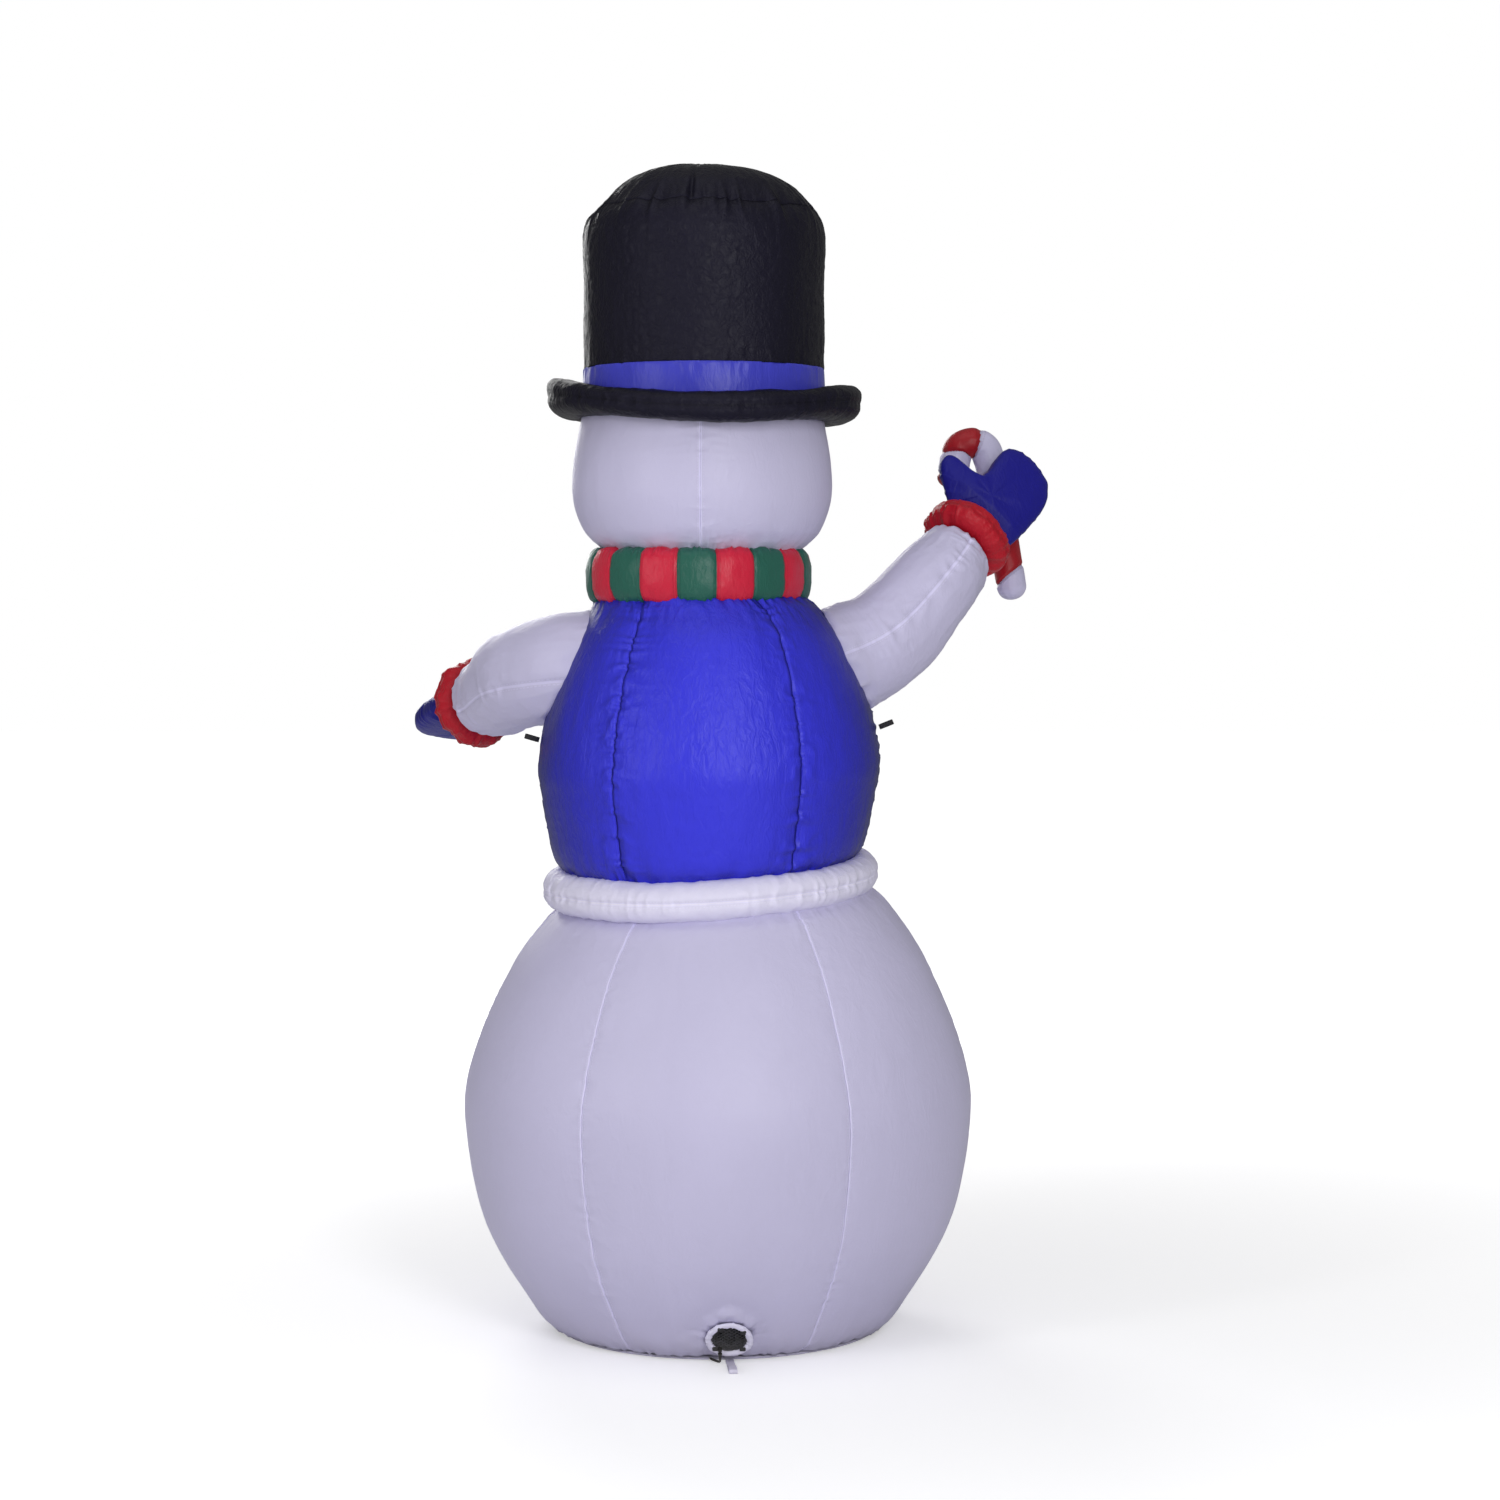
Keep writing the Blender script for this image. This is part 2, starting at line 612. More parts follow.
# turns of the coil: radius and height run evenly from one turn's value to the next
turns = np.arange(0, 5.0001, 1 / 40)
coilRadius = np.interp(turns, np.arange(6), cord["coilRadii"])
coilAngle = np.pi + tau * turns
coilHeight = np.interp(turns, np.arange(6), cord["coilHeights"])
coilLine = np.stack([coilRadius * np.cos(coilAngle), coilRadius * np.sin(coilAngle), coilHeight], 1)
coilLine = coilLine + [*cord["coilCentre"], 0]
tailLine = np.linspace(coilLine[-1], cord["plug"], 6)[1:]
cordLine = evenPath(np.vstack([leadIn, coilLine, tailLine]), 900)
cordLine[:, 2] = np.maximum(cordLine[:, 2], cord["lowest"])
cordPiece = addPiece(
    closedMesh("powerLead", tubeGrid(cordLine, cord["radius"], 10, (1, 0, 0))), "rubber",
    ["power_cord", "cord_coil"]
)
sleeveLine = evenPath(cordLine[:9], 14)
sleeveRadius = np.interp(np.linspace(0, 1, 14), [0, 0.12, 0.2, 1], [0.0041, 0.0041, 0.0036, 0.0029])
sleeveRadius = sleeveRadius * (1 + 0.06 * np.cos(np.arange(14) * np.pi))
sleeve = addPiece(
    closedMesh("leadSleeve", tubeGrid(sleeveLine, sleeveRadius, 20, (1, 0, 0))), "plastic"
)


# floor, light and air round the snowman
studio = {
    "floorSize": 30, "floorColor": (0.86, 0.86, 0.87, 1), "air": 0.27, "backdrop": 1.0, "nearGlow": 0.37,
    "farGlow": 0.85, "fadeFrom": 0.6, "fadeTo": 5.0,
    "lights": [
        ("keyBox", (-1.5, 5.2, 2.6), (0, 0, 1.2), (1.3, 2.8), 118),
        ("sideBox", (3.9, 3.6, 2.4), (0, 0, 1.2), (0.9, 2.4), 50),
        ("topBox", (0.2, 1.2, 5.2), (0, 0, 1.0), (3.0, 3.0), 34),
        ("frontBox", (1.6, -5.2, 3.0), (0, 0, 1.2), (2.4, 2.4), 95)
    ]
}
floorPoints = np.array([[[-1, -1, 0], [1, -1, 0]], [[-1, 1, 0], [1, 1, 0]]], float) * studio["floorSize"]
floorMesh = gridMesh("paleFloor", floorPoints)
floor = linkObject("paleFloor", floorMesh)
floorMaterial, floorTree, floorShader = startMaterial("paleFloor")
floorGrain = addNode(floorTree, "ShaderNodeTexNoise", {"Scale": 3.0, "Detail": 3.0}).outputs["Fac"]
floorTint = mixColor(floorTree, floorGrain, shade(studio["floorColor"], 0.99), studio["floorColor"])
# the floor fades into the pale air with its distance from the snowman
floorAway = {0: objectPlace(floorTree)}
floorReach = addNode(floorTree, "ShaderNodeVectorMath", floorAway, operation="LENGTH").outputs["Value"]
floorFade = addNode(
    floorTree, "ShaderNodeMapRange",
    {
        0: floorReach, 1: studio["fadeFrom"], 2: studio["fadeTo"], 3: studio["nearGlow"],
        4: studio["farGlow"]
    },
    interpolation_type="SMOOTHSTEP"
).outputs[0]
floorSeen = addNode(floorTree, "ShaderNodeLightPath").outputs["Is Camera Ray"]
floorLook = {"Base Color": floorTint, "Roughness": 0.7, "Specular IOR Level": 0.2, "Emission Color": grey(1)}
feed(floorTree, floorShader, {**floorLook, "Emission Strength": times(floorTree, floorFade, floorSeen)})
floorMesh.materials.append(floorMaterial)
for title, place, aim, size, power in studio["lights"]:
    light = bpy.data.lights.new(title, "AREA")
    light.shape, light.size, light.size_y, light.energy = "RECTANGLE", *size, power
    lamp = linkObject(title, light)
    lamp.location = place
    lamp.rotation_euler = (Vector(aim) - Vector(place)).to_track_quat("-Z", "Y").to_euler()
world = bpy.data.worlds.new("paleAir")
world.use_nodes = True
air = world.node_tree
lightPath = addNode(air, "ShaderNodeLightPath").outputs["Is Camera Ray"]
seenAir = addNode(
    air, "ShaderNodeMapRange", {0: lightPath, 3: studio["air"], 4: studio["backdrop"]}
).outputs[0]
feed(air, air.nodes["Background"].inputs, {"Color": grey(1), "Strength": seenAir})
bpy.context.scene.world = world
print("studio set up")


# bodies as outlines of (radius, height), each a smooth curve through its points
waist = {"x": 0.0145, "z": 0.9285, "ring": 0.3085, "tube": 0.0395, "slopeX": -0.053, "slopeY": -0.056}
ball = {
    "x": 0, "bulge": 0.016, "rows": 210, "columns": 84, "topTips": 1, "hemTips": 0,
    "outline": [
        (340, 8.4), (385, 58), (481, 231), (521, 442), (503, 579), (429, 753), (356, 857), (322, 887),
        (313, 899)
    ],
    "seams": [0, 60, 120, 180, 240, 300],
    "panels": ["left_back", "back", "right_back", "right_front", "front", "left_front"],
    "crease": (0.0007, 0.003), "pucker": (0.0026, 0.016, 0.022), "wrinkle": 0.0016, "hem": 0.0028,
    "collarShift": 0
}
torso = {
    "x": 0.0185, "bulge": 0.014, "rows": 150, "columns": 76, "topTips": 0, "hemTips": 1,
    "outline": [
        (299, 958), (303, 969), (324, 1003), (346, 1115), (351, 1185), (325, 1305), (279, 1423),
        (226, 1498), (214, 1511)
    ],
    "seams": [0, 57.5, 122.5, 180, 237.5, 302.5],
    "panels": ["left_back", "back", "right_back", "right_front", "front", "left_front"],
    "crease": (0.003, 0.004), "pucker": (0.0058, 0.014, 0.026), "wrinkle": 0.0024, "hem": 0.0042,
    "collarShift": 0.018
}
head = {
    "x": 0.032, "bulge": 0.006, "rows": 110, "columns": 90, "topTips": 0, "hemTips": 0,
    "outline": [
        (200, 1603), (205, 1611.5), (242, 1647), (265, 1712), (264, 1790), (250, 1870), (240.5, 1926)
    ],
    "seams": [90, 200, 340], "panels": ["back_right", "face", "back_left"], "crease": (0.0007, 0.003),
    "pucker": (0.0028, 0.017, 0.024), "wrinkle": 0.0014, "hem": 0.0035, "collarShift": 0
}


def waistLean(x, y):
    return waist["slopeX"] * (x - waist["x"]) + waist["slopeY"] * y


# outline through its points: each span is a cubic whose slopes are half the step past it, then equal steps
def outlineOf(body, count):
    p = np.array(body["outline"], float) / 1000
    p = np.vstack([p[0], p, p[-1]])
    t = np.linspace(0, 1, 40, endpoint=False)[:, None]
    spans = []
    for i in range(1, len(p) - 2):
        leave, arrive, step = (p[i + 1] - p[i - 1]) / 2, (p[i + 2] - p[i]) / 2, p[i + 1] - p[i]
        spans.append(cubicSpan(p[i], step, leave, arrive, t))
    return evenPath(np.vstack(spans + [p[-1:]]), count)


# a seam's shape: a narrow crease, and puckers that fade away from it in sharp little ridges
def seamShape(distance, place, seed, crease, pucker):
    depth, width = crease
    height, spacing, reach = pucker
    drift = place + 0.4 * spacing * softNoise(place / 0.09, distance / 0.03, seed + 7)
    jag = sharpFolds(drift / spacing, distance / 0.045, seed)
    patch = 0.45 + 0.55 * (0.5 + 0.5 * softNoise(place / 0.11, 0 * place, seed + 3))
    return -depth * bell(distance, width) + height * patch * jag * fade(distance, reach)


# one sewn panel: the outline swung between two seams, swelling as a sine to a power
# its seams, hems and wrinkles stand off that surface
def sewnPanel(name, body, index, extra=None, cut=None):
    count = len(body["seams"])
    following = (index + 1) % count
    start, end = body["seams"][index], body["seams"][following]
    end = end + 360 if end <= start else end
    t = np.linspace(0, 1, body["columns"])
    across = (t - 0.78 * np.sin(tau * t) / tau)[None]
    outline = outlineOf(body, body["rows"])
    slope = unit(np.gradient(outline, axis=0))
    along = lengthAlong(outline)[:, None]
    rise = np.linspace(0, 1, body["rows"])[:, None]
    angle = np.radians(start + 0.03 + (end - start - 0.06) * across)
    radius = outline[:, :1] * (1 + body["bulge"] * np.sin(np.pi * across) ** 0.75)
    total = np.radians(end - start) * radius
    distance = np.minimum(across, 1 - across) * total
    seedBase = int(body["outline"][0][0]) * 10
    first, second = (
        seamShape(distance, along + 0 * across, seedBase + seam, body["crease"], body["pucker"])
        for seam in (index, following)
    )
    swell = np.where(across < 0.5, first, second)
    girth = angle * 0.4
    swell = swell + body["wrinkle"] * softNoise(girth / 0.11, along / 0.16, seedBase + 20)
    swell = swell + 0.45 * body["wrinkle"] * crumple(girth / 0.05, along / 0.09, seedBase + 24)
    for edge, seed in ((along, 31), (along[-1] - along, 37)):
        gather = sharpFolds(girth / 0.017, edge / 0.05, seedBase + seed)
        swell = swell + body["hem"] * gather * fade(edge, 0.03)
    if extra is not None:
        swell = swell + extra(radius, angle, outline, along)
    ray = radius + swell * slope[:, 1:]
    points = roundPoints(ray, angle, outline[:, 1:] - swell * slope[:, :1], body["x"])
    points[..., 0] += body["collarShift"] * rise**16
    lean = waistLean(points[..., 0], points[..., 1])
    points[..., 2] += (body["topTips"] * rise**4 + body["hemTips"] * (1 - rise) ** 2) * lean
    keep = None
    if cut is not None:
        points, keep = cut(points)
    marks = {"seamDistance": distance, "seamPlace": along + 0 * across}
    return gridMesh(name, points, marks=marks, keep=keep)


# removes the quads inside round holes and draws the edges that are left onto their circles
# flat holds the places in the plane of the holes
def cutRound(points, flat, holes):
    rows, columns = points.shape[:2]
    inside = np.zeros((rows, columns), bool)
    for (x, y), radius in holes:
        inside |= np.hypot(flat[..., 0] - x, flat[..., 1] - y) < radius
    gone = inside[:-1, :-1] | inside[1:, :-1] | inside[:-1, 1:] | inside[1:, 1:]
    touched = np.zeros((rows, columns), bool)
    for a, b in (
        (slice(0, -1), slice(0, -1)), (slice(1, None), slice(0, -1)), (slice(0, -1), slice(1, None)),
        (slice(1, None), slice(1, None))
    ):
        touched[a, b] |= gone
    for (x, y), radius in holes:
        away = np.stack([flat[..., 0] - x, flat[..., 1] - y], 2)
        reach = np.linalg.norm(away, axis=2)
        near = touched & ~inside & (reach < radius * 1.35)
        shift = away * (radius / np.maximum(reach, 1e-9) - 1)[..., None]
        flat = np.where(near[..., None], flat + shift, flat)
    return flat, ~gone.ravel()


# the blower's own axes: across, down along the skin, and outward
blower = {
    "centre": np.array([-0.025, 0.390, 0.058]), "across": np.array([1.0, 0, 0]),
    "down": np.array([0, -0.57358, -0.81915]), "out": np.array([0, 0.81915, -0.57358]), "hole": 0.0415,
    "fold": [(-0.0273, 0.1176), (-0.0119, 0.104), (-0.066, 0.085)], "foldHeight": 0.007, "foldWidth": 0.006
}


def cutIntake(points):
    away = points - blower["centre"]
    local = np.stack([away @ blower["across"], away @ blower["down"], away @ blower["out"]], 2)
    near = np.linalg.norm(away, axis=2) < 0.12
    flat = np.where(near[..., None], local[..., :2], 9.0)
    moved, keep = cutRound(points, flat, [((0, 0), blower["hole"])])
    shift = np.where(near[..., None], moved - flat, 0)
    return points + shift[..., :1] * blower["across"] + shift[..., 1:] * blower["down"], keep


# distance from points to a straight piece between two ends
def segmentDistance(x, z, a, b):
    ax, az, bx, bz = *a, *b
    share = np.clip(((x - ax) * (bx - ax) + (z - az) * (bz - az)) / ((bx - ax) ** 2 + (bz - az) ** 2), 0, 1)
    return np.hypot(x - ax - share * (bx - ax), z - az - share * (bz - az))


# the back panel's own marks: a long faint crease, the folded tuck over the blower, and soft hollows round it
def backPanelMarks(radius, angle, outline, along):
    x, z = radius * np.cos(angle), outline[:, 1:] + 0 * angle
    crease = -0.0016 * bell(np.degrees(angle) - 79.5, 0.6) * (z > 0.06) * (z < 0.84)
    peak, left, right = blower["fold"]
    near = np.minimum(segmentDistance(x, z, peak, left), segmentDistance(x, z, peak, right))
    tuck = blower["foldHeight"] * bell(near, blower["foldWidth"])
    turn = np.arctan2(z - 0.06, x + 0.025)
    reach = np.hypot(x + 0.025, z - 0.06)
    rays = 0.003 * ringFolds(turn, 34, reach / 0.05, 71) * fade(np.maximum(reach - 0.045, 0), 0.022)
    hollow = -0.004 * bell(reach - 0.065, 0.02)
    return crease + tuck + (rays + hollow) * (reach > 0.03)


for index, place in enumerate(ball["panels"]):
    mesh = sewnPanel(
        "ballPanel_" + place, ball, index, backPanelMarks if place == "back" else None,
        cutIntake if place == "back" else None
    )
    addPiece(mesh, "white", "ball_gore_" + place, wall=clothWall)


# fine upright crinkles down the middle of the torso's back panel
def torsoBackMarks(radius, angle, outline, along):
    lines = crumple(angle * radius / 0.011, along / 0.07, 91)
    return 0.0012 * lines * bell(np.degrees(angle) - 86, 11)


for index, place in enumerate(torso["panels"]):
    mesh = sewnPanel("torsoPanel_" + place, torso, index, torsoBackMarks if place == "back" else None)
    addPiece(mesh, "blue", "torso_gore_" + place, wall=clothWall)
for index, (place, node) in enumerate(
    zip(head["panels"], ["head_back_right_panel", "head_face_panel", "head_back_left_panel"])
):
    addPiece(
        sewnPanel("headPanel_" + place, head, index), "white", node, wall=clothWall,
    )
print("ball, torso and head panels sewn")


# a puffed ring: a tube of two half sizes round a circle; swell gives how far its skin stands off
def puffedRing(name, sizes, swell, lean=None, marks=None, power=1.0):
    x, z, ring, half, columns, rows = (sizes[key] for key in ("x", "z", "ring", "half", "columns", "rows"))
    turn = fullTurn(columns)[None]
    around = fullTurn(rows)[:, None]
    cos, sin = np.cos(around), np.sin(around)
    out = signedPower(cos, power)
    up = signedPower(sin, power)
    off = swell(turn, around)
    reach = ring + out * half[0] + off * cos
    rise = z + up * half[1] + off * sin
    points = roundPoints(reach, turn, rise, x)
    if lean is not None:
        points[..., 2] += lean(points[..., 0], points[..., 1])
    distance = np.abs((around + np.pi) % tau - np.pi) * max(half)
    allMarks = {
        "seamDistance": distance + 0 * turn,
        "seamPlace": np.broadcast_to(np.append(turn, tau), (rows + 1, columns + 1)) * ring
    }
    allMarks.update(marks or {})
    return gridMesh(name, points, ringColumns=True, ringRows=True, marks=allMarks)


waistLook = {
    **waist, "half": (waist["tube"], waist["tube"]), "crease": (0.006, 0.005),
    "pucker": (0.0068, 0.017, 0.024), "strongAt": np.radians([128, 14]), "columns": 620, "rows": 46
}


def waistSwell(turn, around):
    distance = np.abs((around + np.pi) % tau - np.pi) * waist["tube"]
    strong = 0.6 + 0.9 * sum(bell(turn - at, 0.34) for at in waistLook["strongAt"])
    folds = seamShape(distance, turn * waist["ring"], 400, (0, 1), waistLook["pucker"]) * strong
    crease = -waistLook["crease"][0] * bell(distance, waistLook["crease"][1])
    soft = 0.0025 * ringNoise(turn, 16, around / 1.6, 410)
    ends = 0.002 * ringFolds(turn, 90, around, 414, power=1) * np.abs(np.sin(around)) ** 3
    return folds + crease + soft + ends


waistMesh = puffedRing("waistRing", waistLook, waistSwell, waistLean)
addPiece(waistMesh, "ring", "waist_ring")

scarf = {
    "x": 0.040, "z": 1.555, "ring": 0.203, "half": (0.030, 0.055), "bands": 18, "firstBand": np.radians(80),
    "columns": 720, "rows": 48
}


# each band swells between its two stitched edges and tucks in at them, more at the top and bottom
def scarfSwell(turn, around):
    band = (turn - scarf["firstBand"]) / tau * scarf["bands"]
    inBand = band % 1
    edge = np.minimum(inBand, 1 - inBand) * tau / scarf["bands"] * scarf["ring"]
    puff = 0.0020 * (np.sin(np.pi * inBand) ** 0.6 - 0.75)
    lips = 0.0032 * np.abs(np.sin(around)) ** 3 * (np.sin(np.pi * inBand) ** 0.5 - 0.8)
    tuck = -0.0016 * bell(edge, 0.0026)
    nearEdge = fade(edge, 0.012)
    pucker = 0.0016 * nearEdge * ringFolds(around, 22, np.floor(band) * 3.7, 431)
    gather = 0.0034 * ringFolds(turn, 120, around, 436) * np.abs(np.sin(around)) ** 4
    soft = 0.0012 * ringNoise(turn, 54, around * 1.6, 439)
    return puff + lips + tuck + pucker + gather + soft


bandTurn = np.append(fullTurn(scarf["columns"]), tau) - scarf["firstBand"]
bandPlace = bandTurn / tau * scarf["bands"] + scarf["bands"]
bandEdge = np.minimum(bandPlace % 1, 1 - bandPlace % 1) * tau / scarf["bands"] * scarf["ring"]
wideShape = (scarf["rows"] + 1, scarf["columns"] + 1)
scarfMarks = {
    "stripePlace": np.broadcast_to(bandPlace, wideShape),
    "seamDistance": np.broadcast_to(bandEdge, wideShape)
}
scarfMesh = puffedRing("scarfRing", scarf, scarfSwell, marks=scarfMarks, power=0.72)
addPiece(scarfMesh, "scarf", "scarf_ring")

brim = {
    "x": 0.029, "z": 1.8875, "ring": 0.2835, "half": (0.0385, 0.0295), "lift": 0.026, "tilt": 0.005,
    "columns": 620, "rows": 44
}


def brimLean(x, y):
    side = (x - brim["x"]) / brim["ring"]
    return brim["lift"] * side**2 + brim["tilt"] * side


# the brim's seam runs round its outer edge, and its ends at left and right stand taller and blunt
def brimSwell(turn, around):
    distance = np.abs((around + np.pi) % tau - np.pi) * brim["half"][0]
    pinch = np.abs(np.cos(turn)) ** 10
    seam = seamShape(distance, turn * brim["ring"], 450, (0.0035, 0.004), (0.0034, 0.021, 0.02))
    blunt = pinch * 0.009 * np.abs(np.sin(around)) ** 1.2
    facet = (
        0.003 * ringNoise(turn, 22, around / 1.1, 455) + 0.0016 * ringCrumple(turn, 60, around * 1.3, 457)
    )
    return seam * (1 - 0.9 * pinch) + blunt + facet


brimMesh = puffedRing("hatBrim", brim, brimSwell, brimLean, power=0.78)
addPiece(brimMesh, "hat", "hat_brim")
print("waist ring, scarf and brim made")


# a skin turned about an upright axis: profile rows of (radius, height), with a swell off the surface
def turnedSkin(name, x, profile, columns, swell, poles=False):
    profile = np.array(profile, float)
    slope = unit(np.gradient(profile, axis=0))
    turn = fullTurn(columns)[None]
    along = lengthAlong(profile)[:, None]
    off = swell(turn, along, profile[:, :1], profile[:, 1:])
    ray = profile[:, :1] + off * slope[:, 1:]
    if poles:
        ray = ray * (profile[:, :1] > 1e-6)
    height = profile[:, 1:] - off * slope[:, :1] * (profile[:, :1] > 1e-6)
    return gridMesh(name, roundPoints(ray, turn, height, x), ringColumns=True, poles=poles)


hat = {
    "x": 0.029, "bandRadius": 0.246, "bandBottom": 1.906, "bandTop": 1.980, "columns": 400,
    "wall": [
        (0.244, 1.9795), (0.2455, 2.06), (0.248, 2.16), (0.2505, 2.225), (0.2485, 2.257), (0.241, 2.2825),
        (0.2265, 2.3045)
    ],
    "top": [
        (0.2262, 2.3049), (0.2085, 2.3275), (0.184, 2.352), (0.140, 2.3755), (0.080, 2.389),
        (0.035, 2.3945), (0.0, 2.396)
    ],
    "seamHeight": 2.3035, "foldAt": np.radians(84)
}


def smoothProfile(points, count):
    return evenPath(smoothPath([(r, 0, z) for r, z in points], 24), count)[:, [0, 2]]


# gathers either side of the top seam, fine leathery crinkles all over, and one deep upright fold
def hatSwell(turn, along, radius, height):
    seamReach = np.abs(height - hat["seamHeight"])
    gather = 0.0062 * ringFolds(turn, 58, seamReach / 0.10, 461, power=0.65)
    gather = gather * fade(seamReach, 0.034) - 0.0014 * bell(seamReach, 0.004)
    fine = 0.0011 * ringCrumple(turn, 80, height / 0.020, 463)
    broad = 0.0035 * ringNoise(turn, 14, height / 0.12, 468)
    fold = -0.010 * bell(turn - hat["foldAt"], 0.022) * bell(height - 2.325, 0.035)
    leftTurn = (turn + np.pi) % tau - np.pi
    leftSlant = -0.010 * bell(leftTurn, 0.9) * bell(height - 2.33, 0.04)
    bottom = 0.002 * ringFolds(turn, 90, height / 0.05, 470, power=1) * fade(np.abs(height - 1.98), 0.02)
    calm = np.clip(radius / 0.06, 0, 1)
    return (gather + fine + broad + fold + leftSlant + bottom) * calm


addPiece(
    turnedSkin("hatCrownWall", hat["x"], smoothProfile(hat["wall"], 118), hat["columns"], hatSwell), "hat",
    "hat_crown_wall", wall=clothWall
)
topMesh = turnedSkin(
    "hatCrownTop", hat["x"], smoothProfile(hat["top"], 64), hat["columns"], hatSwell, poles=True
)
addPiece(topMesh, "hat", "hat_crown_top", wall=clothWall)


# satin band: slightly proud in the middle, with small gathers along its top edge
def bandSwell(turn, along, radius, height):
    share = (height - hat["bandBottom"]) / (hat["bandTop"] - hat["bandBottom"])
    gather = 0.0022 * ringFolds(turn, 96, height / 0.04, 481)
    return (
        0.003 * np.sin(np.pi * share) ** 0.6 + gather * fade(1 - share, 0.28)
        + 0.6 * gather * fade(share, 0.2)
    )


bandProfile = np.stack(
    [np.full(26, hat["bandRadius"]), np.linspace(hat["bandBottom"], hat["bandTop"], 26)], 1
)
addPiece(
    turnedSkin("hatBand", hat["x"], bandProfile, hat["columns"], bandSwell), "band",
    "hat_band", wall=clothWall
)
print("hat made")


# a body's radius at a height
def radiusAt(body, height):
    outline = outlineOf(body, 400)
    return np.interp(height, outline[:, 1], outline[:, 0])


arms = {
    "left": {
        "path": [(180, 30, 1374), (310, 0, 1366), (410, -100, 1345)], "radii": [114, 114, 106, 92, 81],
        "cuff": (525.5, -325, 1284), "direction": (0.451, -0.873, -0.19), "along": (0.381, -0.877, -0.294),
        "facing": (0, 0.318, -0.949), "seed": 500
    },
    "right": {
        "path": [(-150, 10, 1350), (-262, -20, 1384), (-350, -45, 1432)], "radii": [114, 113, 104, 92, 76],
        "cuff": (-525.4, -190, 1636), "direction": (-0.485, -0.588, 0.647),
        "along": (-0.607, -0.423, 0.672), "facing": (-0.283, 0.905, 0.314), "seed": 540
    }
}
armLook = {
    "columns": 168, "rows": 120, "inTorso": 0.003, "seam": (0.0028, 0.0045),
    "pucker": (0.004, 0.018, 0.022), "rootGather": 0.0055, "wristGather": 0.0045, "rootTuck": 0.004,
    "wristTaper": 0.012
}
cuff = {
    "radius": 0.098, "half": 0.037, "wristGap": 0.002, "forearm": 0.090, "columns": 240, "rows": 64,
    "crease": 0.044, "fine": 0.022, "facet": 0.034, "seamDepth": 0.0015
}
mitten = {
    "outline": [
        (-73, 0), (-147, 62), (-143, 92), (-118, 97), (-64, 98), (-63, 165), (-61, 194), (-42, 213),
        (2, 218), (60, 200), (84, 158), (88, 60), (73, 0), (0, -12)
    ],
    "centre": (-18, 70), "half": 0.036, "columns": 260, "rows": 70, "fromCuff": 34,
    "pucker": (0.0035, 0.019, 0.02)
}


# arm: a tube whose lines start where they leave the torso, with two long seams and gathers at both ends
def armMesh(side, arm):
    direction = unit(np.array(arm["direction"]))
    wrist = np.array(arm["cuff"]) / 1000 - direction * (cuff["half"] + cuff["wristGap"])
    line = smoothPath([*(np.array(arm["path"]) / 1000), wrist - direction * cuff["forearm"], wrist], 40)
    along, up, sideways = carriedFrame(line, (0, 0, 1))
    share = np.linspace(0, 1, len(line))
    radius = np.interp(share, np.linspace(0, 1, 5), np.array(arm["radii"]) / 1000)
    turn = fullTurn(armLook["columns"])
    outward = up[:, None] * np.cos(turn)[:, None] + sideways[:, None] * np.sin(turn)[:, None]
    rings = line[:, None] + outward * radius[:, None, None]
    reach = np.hypot(rings[..., 0] - torso["x"], rings[..., 1])
    outside = reach > radiusAt(torso, rings[..., 2]) - armLook["inTorso"]
    inside = np.where(outside, 0, share[:, None])
    begin = np.pad(np.clip(inside.max(0), 0.02, 0.9), 1, mode="wrap")
    begin = np.convolve(begin, [0.25, 0.5, 0.25], mode="valid")
    u = begin + (1 - begin) * np.linspace(0, 1, armLook["rows"])[:, None]
    middle, upward, aside = (
        np.stack([np.interp(u, share, field[:, k]) for k in range(3)], 2) for field in (line, up, sideways)
    )
    upward, aside = unit(upward), unit(aside)
    size = np.interp(u, share, radius)
    length = float(gapsOf(line).sum())
    fromRoot, fromWrist = (u - begin) * length, (1 - u) * length
    back = np.arctan2(aside[..., 1], upward[..., 1])
    seamAngle = (turn - back.mean() + np.pi) % tau - np.pi
    seamDistance = np.minimum(np.abs(seamAngle), np.pi - np.abs(seamAngle)) * size
    seed = arm["seed"]
    long = seamShape(seamDistance, u * length, seed, armLook["seam"], armLook["pucker"])
    rootFolds = ringFolds(turn, 26, fromRoot / 0.06, seed + 9)
    wristFolds = ringFolds(turn, 24, fromWrist / 0.07, seed + 11)
    gatherRoot = armLook["rootGather"] * rootFolds * fade(fromRoot, 0.03)
    gatherWrist = armLook["wristGather"] * wristFolds * fade(fromWrist, 0.035)
    soft = (
        0.003 * ringNoise(turn, 9, u * 9, seed + 13)
        + 0.0012 * ringCrumple(turn, 24, u * length / 0.03, seed + 15)
    )
    rootTuck = -armLook["rootTuck"] * bell(fromRoot, 0.006)
    wristTaper = armLook["wristTaper"] * fade(fromWrist, 0.012)
    size = size + long + gatherRoot + gatherWrist + soft + rootTuck - wristTaper
    points = middle + upward * (size * np.cos(turn))[..., None] + aside * (size * np.sin(turn))[..., None]
    return gridMesh(
        side + "Arm", points, ringColumns=True,
        marks={"seamDistance": seamDistance, "seamPlace": u * length}
    )


